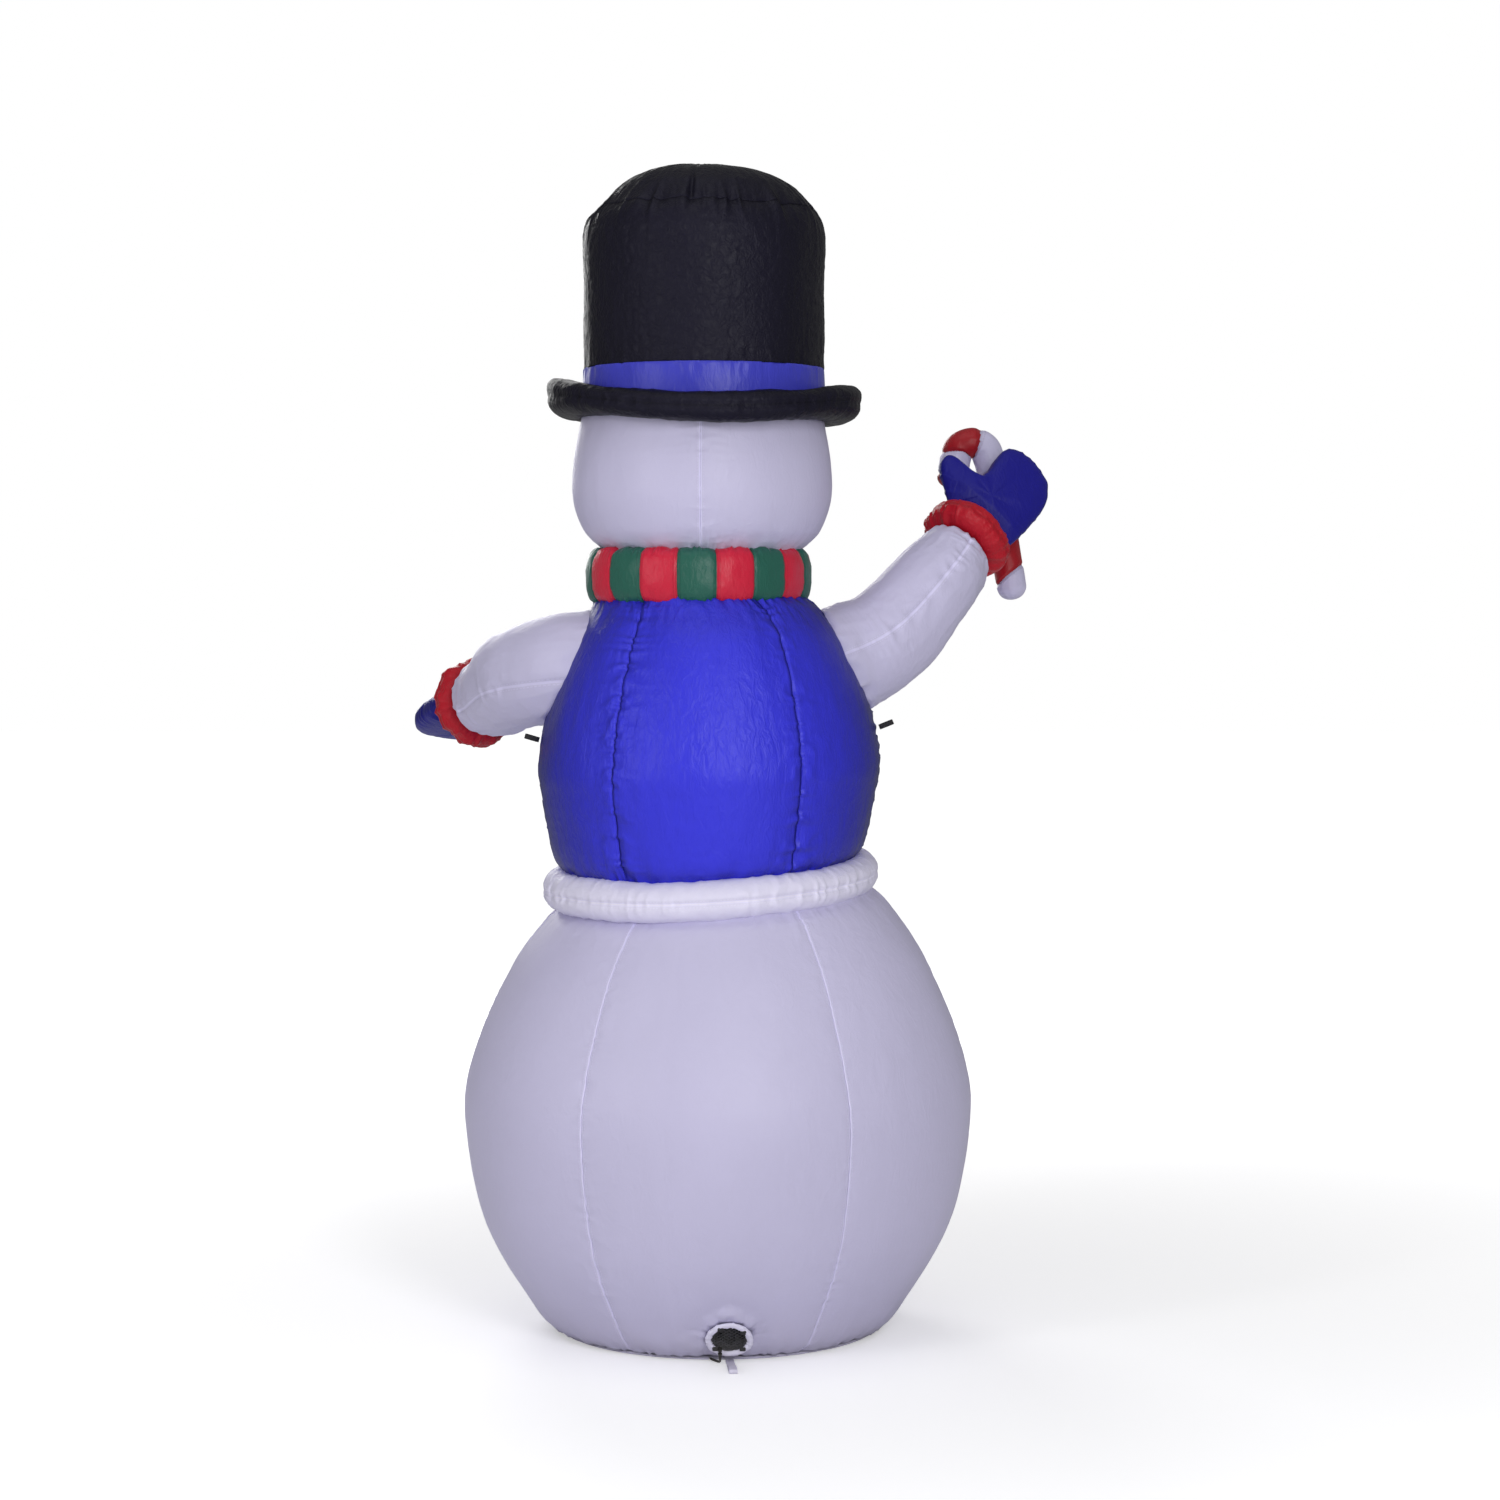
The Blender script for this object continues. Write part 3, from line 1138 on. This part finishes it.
# cuff: a turned barrel with a rounded-square profile, folded in by radial creases that deepen toward its rim
def cuffMesh(side, arm):
    turn = fullTurn(cuff["columns"])[None]
    rise = np.linspace(0, np.pi, cuff["rows"])[:, None]
    crease = ringFolds(turn, 15, rise / 2.4, arm["seed"] + 21, power=0.7)
    fine = ringFolds(turn, 42, rise / 1.2, arm["seed"] + 23)
    facets = ringCrumple(turn, 19, rise * 1.6, arm["seed"] + 25)
    body = np.sin(rise) ** 0.5
    folds = cuff["crease"] * crease + cuff["fine"] * fine + cuff["facet"] * facets
    radius = (cuff["radius"] - 0.004) * body * (1 + folds * np.sin(rise))
    radius = radius - cuff["seamDepth"] * bell(rise - np.pi / 2, 0.06)
    height = -cuff["half"] * signedPower(np.cos(rise), 0.8) * (1 + 0.10 * crease * body + 0.04 * fine * body)
    points = roundPoints(radius, turn, height)
    points[[0, -1], :, 2] = points[[0, -1], :, 2].mean(1, keepdims=True)
    across, along, facing = standOn(arm["direction"])
    marks = {
        "seamDistance": np.abs(rise - np.pi / 2) * 0.05 + 0 * turn,
        "seamPlace": 0 * rise + turn * cuff["radius"]
    }
    return closedMesh(
        side + "Cuff", placed(points, np.array(arm["cuff"]) / 1000, across, along, facing), **marks
    )


# mitten: its outline drawn in toward a centre while the two faces swell as a cosine, with a puckered rim seam
def mittenMesh(side, arm):
    outline = np.array(mitten["outline"] + mitten["outline"][:1], float) / 1000
    line = smoothPath([(x, y, 0) for x, y in outline], 30)[:, :2]
    line = evenPath(line, mitten["columns"] + 1)[:-1]
    centre = np.array(mitten["centre"]) / 1000
    edge = line - centre
    length = lengthAlong(line)
    rise = halfTurn(mitten["rows"])[:, None]
    share = np.cos(rise) ** 0.75
    swell = signedPower(np.sin(rise), 0.72)
    distance = (1 - share) * np.linalg.norm(edge, axis=1)
    jag = seamShape(distance, length + 0 * rise, arm["seed"] + 31, (0, 1), mitten["pucker"])
    soft = 0.0022 * softNoise(length / 0.05 + 0 * rise, rise * 2, arm["seed"] + 33)
    reach = share + (jag * 0.6) / np.maximum(np.linalg.norm(edge, axis=1), 0.02)
    # near the middle of a face the outline gives way to its own first two turns, a plain oval
    firstTurns = np.fft.fft(edge[:, 0] + 1j * edge[:, 1])
    firstTurns[3:-2] = 0
    oval = np.fft.ifft(firstTurns)
    oval = np.stack([oval.real, oval.imag], 1)
    detail = np.clip(share, 0, 1)[..., None] ** 1.5
    flat = centre + (edge * detail + oval * (1 - detail)) * reach[..., None] * 0.985
    thumb = bell(flat[..., 0] + 0.115, 0.035)
    heel = np.clip((flat[..., 1] + 0.02) / 0.07, 0.35, 1)
    height = mitten["half"] * swell * (1 - 0.22 * thumb) * heel + (jag + soft) * np.sin(rise) * share**0.3
    points = pinchEnds(np.concatenate([flat, height[..., None]], 2))
    along = unit(np.array(arm["along"], float))
    across = unit(np.cross(along, np.array(arm["facing"], float)))
    facing = np.cross(across, along)
    origin = (np.array(arm["cuff"]) + mitten["fromCuff"] * unit(np.array(arm["direction"]))) / 1000
    marks = {"seamDistance": distance, "seamPlace": length + 0 * rise}
    return closedMesh(side + "Mitten", placed(points, origin, across, along, facing), **marks)


for side, arm in arms.items():
    addPiece(armMesh(side, arm), "white", side + "_arm", wall=clothWall)
    addPiece(cuffMesh(side, arm), "red", side + "_cuff")
    addPiece(mittenMesh(side, arm), "mitten", side + "_mitten")
print("arms, cuffs and mittens made")


# candy cane: a leaning shaft and a hook, in coloured lengths sewn end to end on a slant
cane = {
    "foot": (-0.639, -0.334, 1.509), "hook": (-0.552, -0.392, 1.812), "hookRadius": 0.037, "shaft": 0.032,
    "hookEnd": (0.008, 0.006, -0.062), "hookTube": 0.034,
    "joins": [0.052, 0.128, 0.204, 0.281, 0.357, 0.408, 0.456],
    "slants": [0.018, 0.014, 0.012, 0.010, 0.004, 0.012, 0.004], "columns": 96, "rows": 230
}
shaftTop = np.array(cane["hook"]) + [-cane["hookRadius"], 0, 0]
foot = np.array(cane["foot"])
arc = np.pi - np.linspace(0, 1, 5) * np.pi
bend = np.array(cane["hook"]) + cane["hookRadius"] * np.stack([np.cos(arc), 0 * arc, np.sin(arc)], 1)
shaftPoints = [foot + (shaftTop - foot) * share for share in (0, 0.33, 0.67)]
caneLine = smoothPath([*shaftPoints, *bend, bend[-1] + cane["hookEnd"]], 30)
caneLine = evenPath(caneLine, cane["rows"])
caneLength = gapsOf(caneLine).sum()
canePlace = np.linspace(0, caneLength, cane["rows"])[:, None]
caneTurn = fullTurn(cane["columns"])[None]
joinPairs = list(zip(cane["joins"], cane["slants"]))
nearJoin = np.min(
    [np.abs(canePlace + slant * np.cos(caneTurn + np.pi / 2) - join) for join, slant in joinPairs], axis=0
)
caneGrow = 1 - 0.0035 * bell(nearJoin, 0.004) / cane["shaft"]
caneGrow = caneGrow + 0.05 * ringFolds(caneTurn, 13, canePlace / 0.03, 601) * fade(nearJoin, 0.012)
caneGrow = caneGrow + 0.035 * ringNoise(caneTurn, 7, canePlace / 0.025, 604)
endGather = fade(canePlace, 0.018) + fade(caneLength - canePlace, 0.018)
caneGrow = caneGrow + 0.08 * endGather * ringFolds(caneTurn, 12, canePlace, 607, power=1)
tips = np.minimum(canePlace, caneLength - canePlace)[:, 0]
caneRadius = np.interp(
    canePlace[:, 0], [0, caneLength * 0.5, caneLength], [cane["shaft"], cane["hookTube"], cane["hookTube"]]
)
# the ends round off as most of a quarter circle, a little short of the tube's radius
caneRadius = caneRadius * np.sqrt(1 - (1 - np.clip(tips / 0.026, 0, 1)) ** 2 * 0.93)
canePoints = tubeGrid(caneLine, caneRadius, cane["columns"], (0, 1, 0), caneGrow)
wideTurn = np.append(caneTurn, tau)[None]
widePlace = np.concatenate([[0], canePlace[:, 0], [caneLength, caneLength]])[:, None]
wideAway = np.array([widePlace + slant * np.cos(wideTurn + np.pi / 2) - join for join, slant in joinPairs])
stripePlace = (wideAway > 0).sum(0) + 0.5
wideJoin = np.abs(wideAway).min(0)
addPiece(
    closedMesh(
        "candyCane", canePoints, seamPlace=wideTurn * cane["shaft"] + 0 * widePlace,
        stripePlace=stripePlace, seamDistance=wideJoin
    ),
    "cane", "candy_cane"
)
print("candy cane made")


# a place on a body's skin and the normal there
def spotOn(body, height, degrees):
    outline = outlineOf(body, 400)
    slope = unit(np.gradient(outline, axis=0))
    radius = np.interp(height, outline[:, 1], outline[:, 0]) * (1 + body["bulge"] * 0.95)
    tangent = np.array([np.interp(height, outline[:, 1], slope[:, k]) for k in (0, 1)])
    out = np.array([np.cos(np.radians(degrees)), np.sin(np.radians(degrees)), 0])
    return out * radius + [body["x"], 0, height], unit(out * tangent[1] + [0, 0, -tangent[0]])


# felt disc: a low dome, radius and height following a rounded-square curve, with a stitched rim
def feltDisc(name, body, height, degrees, radius, thick, lift):
    spot, normal = spotOn(body, height, degrees)
    rise = halfTurn(40)[:, None]
    turn = fullTurn(96)[None]
    ray = radius * np.cos(rise) ** 0.6 * (1 + 0.012 * ringNoise(turn, 18, rise, 621))
    up = thick / 2 * (1 + signedPower(np.sin(rise), 0.7))
    up = up - 0.0012 * bell(ray - radius * 0.84, 0.0018) * (rise > 0)
    points = roundPoints(ray, turn, up + lift)
    return closedMesh(name, placed(pinchEnds(points), spot, *standOn(normal)))


face = {
    "eyeHeight": 1.782, "eyeAngle": 19, "noseHeight": 1.732, "mouthHeight": 1.742, "mouthDrop": 0.070,
    "mouthAngle": 20, "mouthSwing": 52, "mouthSteps": 70, "mouthLift": 0.003, "mouthHalf": (0.0052, 0.0021),
    "eye": (0.023, 0.012, 0.0012), "button": (0.025, 0.013, 0.0015), "buttonHeights": [1.325, 1.200, 1.080]
}
for side, turned in (("left", face["eyeAngle"]), ("right", -face["eyeAngle"])):
    disc = feltDisc(side + "Eye", head, face["eyeHeight"], turned - 90, *face["eye"])
    addPiece(disc, "felt", side + "_eye")
for index, height in enumerate(face["buttonHeights"], 1):
    disc = feltDisc(f"coatButton{index}", torso, height, -90, *face["button"])
    addPiece(disc, "felt", f"coat_button_{index}")

# mouth: a rounded strip along a smile, swung down in the middle
swing = np.radians(np.linspace(-face["mouthSwing"], face["mouthSwing"], face["mouthSteps"]))
smile = [
    spotOn(head, face["mouthHeight"] - face["mouthDrop"] * np.cos(a), -90 + face["mouthAngle"] * np.sin(a))
    for a in swing
]
smileLine = np.array([spot + normal * face["mouthLift"] for spot, normal in smile])
smileNormal = np.array([normal for _, normal in smile])
smileAlong = unit(np.gradient(smileLine, axis=0))
smileSide = np.cross(smileNormal, smileAlong)
smileTurn = fullTurn(20)
ends = np.sqrt(1 - np.linspace(-1, 1, face["mouthSteps"]) ** 8)[:, None, None]
smileWide = (face["mouthHalf"][0] * signedPower(np.cos(smileTurn), 0.7))[:, None]
smileThick = (face["mouthHalf"][1] * np.sin(smileTurn))[:, None]
smilePoints = (
    smileLine[:, None] + smileSide[:, None] * smileWide * ends + smileNormal[:, None] * smileThick * ends
)
addPiece(closedMesh("smile", smilePoints), "felt", "mouth")

# carrot nose: a turned taper with shallow rings, slightly bent creases and a gathered root
carrot = {
    "length": 0.154,
    "profile": [
        (0, 0), (0.020, 0), (0.0268, 0.008), (0.026, 0.030), (0.019, 0.080), (0.010, 0.130), (0.004, 0.151),
        (0, 0.154)
    ]
}
carrotLine = evenPath(np.array(carrot["profile"]), 150)
carrotRadius = np.convolve(np.pad(carrotLine[:, 0], 2, mode="edge"), np.ones(5) / 5, mode="valid")[:, None]
carrotRadius[[0, -1]] = 0
carrotTurn = fullTurn(72)[None]
carrotRing = (
    -0.0011 * bell((carrotLine[:, 1:] / 0.019) % 1 - 0.5 + 0.15 * np.sin(carrotTurn * 2), 0.13)
    * (carrotLine[:, 1:] > 0.02)
)
carrotGather = 0.0012 * np.cos(carrotTurn * 9) * fade(np.abs(carrotLine[:, 1:] - 0.006), 0.012)
carrotRay = carrotRadius + (carrotRing + carrotGather) * np.clip(carrotRadius / 0.012, 0, 1)
carrotPoints = roundPoints(carrotRay, carrotTurn, carrotLine[:, 1:] + 0.0013)
noseSpot, noseNormal = spotOn(head, face["noseHeight"], -90)
addPiece(
    closedMesh("carrotNose", placed(carrotPoints, noseSpot, *standOn(noseNormal))), "orange",
    "carrot_nose"
)

# scarf knot: a soft ball, pinched across its middle and pleated toward both sides
knot = {"centre": (0.064, -0.2510, 1.540), "half": (0.044, 0.028, 0.042)}
knotRise = halfTurn(80)[:, None]
knotTurn = fullTurn(160)[None]
knotPleat = (
    0.05 * np.cos(knotTurn * 7 + 2 * knotRise) * np.cos(knotRise) ** 2
    + 0.05 * ringNoise(knotTurn, 9, knotRise * 2, 641) * np.cos(knotRise)
)
knotSize = 1 + knotPleat - 0.06 * bell(knotRise, 0.16)
knotPoints = roundPoints(knotSize * np.cos(knotRise), knotTurn, np.sin(knotRise) * knotSize)
addPiece(
    closedMesh("scarfKnot", np.array(knot["centre"]) + knotPoints * knot["half"]), "tailRed",
    "scarf_knot"
)

# scarf tails: padded strips that follow the torso, swing in toward the knot and lift at the foot
tailTop, tailClear, tailHalf = 1.505, 0.0125, 0.0052
tails = {
    "long": {"from": -82, "to": -66, "bottom": 1.240, "swing": -3, "finish": "tailRed"},
    "short": {"from": -62, "to": -46, "bottom": 1.340, "swing": -9, "finish": "tailGreen"}
}
for length, tail in tails.items():
    height = np.linspace(tail["bottom"], tailTop, 120)[:, None]
    around = fullTurn(72)[None]
    taper = np.clip(np.minimum(height - tail["bottom"], tailTop - height) / 0.006, 0, 1) ** 0.5
    rise = (height - tail["bottom"]) / (tailTop - tail["bottom"])
    waves = (
        0.0024 * softNoise(height / 0.028, around * 1.2, 651 + len(length))
        + 0.0012 * np.sin(height / 0.012)
    )
    drape = (
        0.0028 * softNoise(height / 0.05, np.cos(around) * 1.6, 657 + len(length))
        + 0.0035 * (1 - rise) ** 3
    )
    middle, halfWidth = (tail["from"] + tail["to"]) / 2, (tail["to"] - tail["from"]) / 2
    narrow = signedPower(np.cos(around), 0.5)
    degrees = middle + halfWidth * narrow * (0.96 + 0.04 * taper) * (1 - 0.22 * rise**3)
    degrees = degrees + tail["swing"] * rise**2
    thick = tailHalf * signedPower(np.sin(around), 0.7) + waves * (np.sin(around) > 0)
    reach = radiusAt(torso, height) + tailClear + drape + thick * taper
    angle = np.radians(degrees)
    points = roundPoints(reach, angle, height, torso["x"])
    points = withTips(points, [points[k].mean(0) for k in (0, -1)])
    mesh = closedMesh("scarfTail_" + length, points)
    addPiece(mesh, tail["finish"], "scarf_tail_" + length)
print("face, buttons and scarf tails made")


# a strap of webbing: a flat band carried along a path, its cross direction fixed and its corners rounded
def strapMesh(name, line, across, width, thick):
    along = unit(np.gradient(line, axis=0))
    across = unit(np.array(across, float))
    up = np.cross(along, across)
    turn = fullTurn(28)
    side = signedPower(np.cos(turn), 0.35) * width / 2
    high = signedPower(np.sin(turn), 0.5) * thick / 2
    ribs = 1 + 0.10 * np.cos(np.arange(len(line)) * np.pi)[:, None]
    points = line[:, None] + across * side[:, None] + up[:, None] * (high * ribs)[..., None]
    return closedMesh(name, withTips(points, line[[0, -1]]))


# tether loops: webbing out of the side seam, round a small eye and back
tethers = {
    "left": {"root": (0.370, 0, 1.2165), "tilt": 16, "sign": 1},
    "right": {"root": (-0.333, 0, 1.243), "tilt": 22, "sign": -1}
}
for side, loop in tethers.items():
    tip, half = 0.0215, 0.0049
    eyeTurn = halfTurn(25)
    eye = np.stack([tip + 0.0092 * np.cos(eyeTurn), half * np.sin(eyeTurn)], 1)
    flatLine = np.vstack([[(0.001, -0.0012), (0.007, -0.0038)], eye, [(0.007, 0.0038), (0.001, 0.0012)]])
    flatLine = evenPath(smoothPath([(x, y, 0) for x, y in flatLine], 4), 96)
    tilt = np.radians(loop["tilt"])
    outward = np.array([np.cos(tilt) * loop["sign"], 0, np.sin(tilt)])
    upward = np.array([-np.sin(tilt) * loop["sign"], 0, np.cos(tilt)])
    loopLine = np.array(loop["root"]) + flatLine[:, :1] * outward + flatLine[:, 1:2] * [0, 1, 0]
    addPiece(
        strapMesh(side + "TetherLoop", loopLine, upward, 0.0108, 0.0019), "webbing",
        side + "_tether_loop", body=side + "_loop"
    )

# stake loops: straps lying on the ground, folded back on themselves round a peg eye
stake = {"start": 0.3365, "length": 0.114, "width": 0.0165, "thick": 0.0019, "eye": 0.0095}
for place, degrees in {"back": 94.3, "front_left": -58, "front_right": -122}.items():
    out = np.array([np.cos(np.radians(degrees)), np.sin(np.radians(degrees)), 0])
    middle = stake["eye"] / 2
    bow = halfTurn(21)
    eyeBow = np.stack(
        [
            stake["length"] - middle + (middle - 0.001) * np.cos(bow),
            middle + (middle - 0.001) * np.sin(bow)
        ],
        1
    )
    strapPath = np.vstack(
        [
            [(0.0, 0.001), (0.045, 0.001), (0.085, 0.001)], eyeBow,
            [(0.085, 0.0083), (0.076, 0.0078), (0.064, 0.0045), (0.056, 0.0031), (0.002, 0.0031)]
        ]
    )
    strapPath = evenPath(smoothPath([(x, 0, z) for x, z in strapPath], 5), 210)
    strapLine = out * (stake["start"] + strapPath[:, :1]) + [0, 0, 1] * strapPath[:, 2:]
    addPiece(
        strapMesh(
            "stakeLoop_" + place, strapLine, np.cross([0, 0, 1], out), stake["width"], stake["thick"]
        ),
        "ring", place + "_stake_loop"
    )
print("webbing loops made")


# blower opening: a puckered collar, and a net guard held in its rim
collar = {"ring": 0.041, "half": (0.0062, 0.0042), "lift": 0.0045, "columns": 260, "rows": 30}
collarTurn = fullTurn(collar["columns"])[None]
collarAround = fullTurn(collar["rows"])[:, None]
collarPucker = ringFolds(collarTurn, 34, collarAround / 3, 701)
collarReach = (
    collar["ring"] + (collar["half"][0] + 0.0012 * collarPucker) * np.cos(collarAround)
    + 0.0012 * ringNoise(collarTurn, 7, 0 * collarAround, 703)
)
collarRise = collar["lift"] + (collar["half"][1] + 0.0008 * collarPucker) * np.sin(collarAround)
collarPoints = roundPoints(collarReach, collarTurn, collarRise)
blowerAxes = blower["centre"], blower["across"], blower["down"], blower["out"]
addPiece(
    gridMesh(
        "intakeCollar", placed(collarPoints, *blowerAxes), ringColumns=True, ringRows=True,
        marks={
            "seamDistance": 0.002 + 0.02 * np.abs(np.sin(collarAround / 2)) + 0 * collarTurn,
            "seamPlace": collarTurn * 0.041 + 0 * collarAround
        }
    ),
    "ring", "intake_collar"
)

# net guard: two slanting sets of strands over a shallow dome, inside a rim, with four tabs over the collar
guard = {
    "radius": 0.0345, "dome": 0.0016, "strand": 0.0006, "across": 0.013, "down": 0.010, "lift": 0.0018,
    "rim": (0.0013, 0.0011), "rimLift": 0.002, "tabLift": 0.0082, "tabHalf": (0.0062, 0.0056, 0.0012),
    "tabs": [(0.0275, 0.0235), (-0.0265, 0.0240), (0.0165, -0.0325), (-0.0280, -0.0235)]
}
strands = []
spacing = guard["across"] * guard["down"] / np.hypot(guard["across"], guard["down"])
slantAngle = np.arctan2(guard["down"], guard["across"])
for sign in (-1, 1):
    direction = np.array([np.cos(slantAngle), sign * np.sin(slantAngle)])
    offsets = np.array([-direction[1], direction[0]])
    for k in range(-5, 6):
        off = k * spacing * 0.8
        if abs(off) > guard["radius"] - 0.003:
            continue
        reach = np.sqrt((guard["radius"] - 0.001) ** 2 - off**2)
        s = np.linspace(-reach, reach, 30)
        flat = offsets * off + direction * s[:, None]
        weaveLift = 0.00035 * sign * np.cos(s / spacing * np.pi)
        dome = guard["dome"] * (1 - (flat**2).sum(1) / guard["radius"] ** 2)
        strandLine = placed(np.column_stack([flat, guard["lift"] + dome + weaveLift]), *blowerAxes)
        strands.append(closedMesh("strand", tubeGrid(strandLine, guard["strand"], 6)))
rimTurn = np.linspace(0, tau, 97)[:-1]
rimAround = fullTurn(12)[:, None]
rimReach = guard["radius"] - 0.0006 + guard["rim"][0] * np.cos(rimAround)
rimPoints = roundPoints(rimReach, rimTurn, guard["rimLift"] + guard["rim"][1] * np.sin(rimAround))
strands.append(gridMesh("rim", placed(rimPoints, *blowerAxes), ringColumns=True, ringRows=True))
tabTurn, tabRise = fullTurn(24)[None], halfTurn(14)[:, None]
halfX, halfY, halfZ = guard["tabHalf"]
tabX = halfX * np.cos(tabRise) ** 0.4 * signedPower(np.cos(tabTurn), 0.5)
tabY = halfY * np.cos(tabRise) ** 0.4 * signedPower(np.sin(tabTurn), 0.5)
tabZ = guard["tabLift"] + halfZ * signedPower(np.sin(tabRise), 0.6) + 0 * tabTurn
tabs = []
for x, y in guard["tabs"]:
    tab = np.stack([x + tabX, y + tabY, tabZ], 2)
    tabs.append(closedMesh("tab", placed(tab, *blowerAxes)))
addPiece(joinedMesh("netGuard", strands), "net", "fan_guard")
addPiece(joinedMesh("guardTabs", tabs), "plastic")
print("blower opening made")


# base panel: two faces of cloth with a puckered rim and a narrow groove for the lead, as slices across x
base = {
    "radius": 0.335, "thick": 0.0079, "bottom": 0.0002, "grooveX": 0.012, "grooveHalf": 0.0034,
    "grooveTop": 0.0058, "grooveSlices": [-0.0040, -0.0035, -0.0033, 0.0033, 0.0035, 0.0040],
    "grooveClear": 0.0045, "run": 60, "gathers": 120
}
slices = np.sin(halfTurn(161)) * base["radius"]
slices = slices[np.abs(slices - base["grooveX"]) > base["grooveClear"]]
slices = np.sort(np.concatenate([slices, [base["grooveX"] + away for away in base["grooveSlices"]]]))
sliceY = np.sqrt(np.maximum(base["radius"] ** 2 - slices**2, 0))
run = np.linspace(-1, 1, base["run"])
ringShare = np.concatenate([run, run[::-1]])
isTop = np.repeat([False, True], base["run"])
baseX = np.broadcast_to(slices[:, None], (len(slices), 2 * base["run"]))
baseY = sliceY[:, None] * ringShare
edgeAway = base["radius"] - np.hypot(baseX, baseY)
lift = np.where(isTop, base["thick"], base["bottom"])
pinch = 0.0022 * fade(edgeAway, 0.004)
turnPlace = np.arctan2(baseY, baseX) / tau * base["gathers"] % base["gathers"]
gatherBase = 0.0006 * softNoise(turnPlace, edgeAway / 0.02, 731, base["gathers"]) * fade(edgeAway, 0.03)
lift = np.where(isTop, lift - pinch + gatherBase, lift + pinch * 0.6 + np.maximum(gatherBase, 0))
groove = np.abs(baseX - base["grooveX"]) < base["grooveHalf"]
lift = np.where(groove & ~isTop, base["grooveTop"], lift)
basePoints = pinchEnds(np.stack([baseX, baseY, lift], 2))
addPiece(closedMesh("basePanel", basePoints), "white", "base_panel")


# vented discs inside the waist and neck: flat rings of cloth with round holes
def ventedDisc(name, radius, centreHole, holes, node, height):
    rows, columns = 64, 264
    ray = np.linspace(centreHole, radius, rows)[:, None]
    turn = np.linspace(0, tau, columns + 1)[None]
    flat = np.stack([ray * np.cos(turn), ray * np.sin(turn)], 2)
    count, holeRadius, circle = holes
    around = np.arange(count) / count * tau
    flat, keep = cutRound(
        flat, flat, [((circle * np.cos(a), circle * np.sin(a)), holeRadius) for a in around]
    )
    ripple = (
        0.0011 * ringNoise(turn, 60, ray / 0.05, 741)
        * np.sin(np.pi * (ray - centreHole) / (radius - centreHole))
    )
    points = np.concatenate([flat + [height[0], 0], (ripple + height[1])[..., None]], 2)[:, ::-1]
    if height[2] is not None:
        points[..., 2] += height[2](points[..., 0], points[..., 1])
    keep = keep.reshape(rows - 1, columns)[:, ::-1].ravel()
    piece = addPiece(gridMesh(name, points, keep=keep), "white", node, wall=0.0008)


ventedDisc(
    "waistDisc", 0.262, 0.028, (6, 0.045, 0.150), "waist_baffle",
    (waist["x"], waist["z"] + 0.001, waistLean)
)
ventedDisc(
    "neckDisc", 0.166, 0.028, (4, 0.040, 0.095), "neck_baffle", (scarf["x"], scarf["z"], None),
)
print("base panel and inner discs made")


# parts kept from the frame take their own finishes
kept = {
    "fan_housing_front": ("grey", "grey_plastic"), "fan_housing_rear": ("grey", "grey_plastic"),
    "fan_motor": ("steel", "steel"), "motor_shaft": ("steel", "steel"),
    "fan_impeller": ("plastic", "black_plastic"), "lamp_lead": ("rubber", "cord_rubber"),
    "lower_lamp": ("lens", "lamp_lens"), "upper_lamp": ("lens", "lamp_lens"),
    "cord_gland": ("plastic", "black_plastic"), "power_plug": ("plastic", "black_plastic")
}
for name, (finish, slot) in kept.items():
    nodes[name].data.materials.clear()
    nodes[name].data.materials.append(finishes[finish])

print("snowman finished")
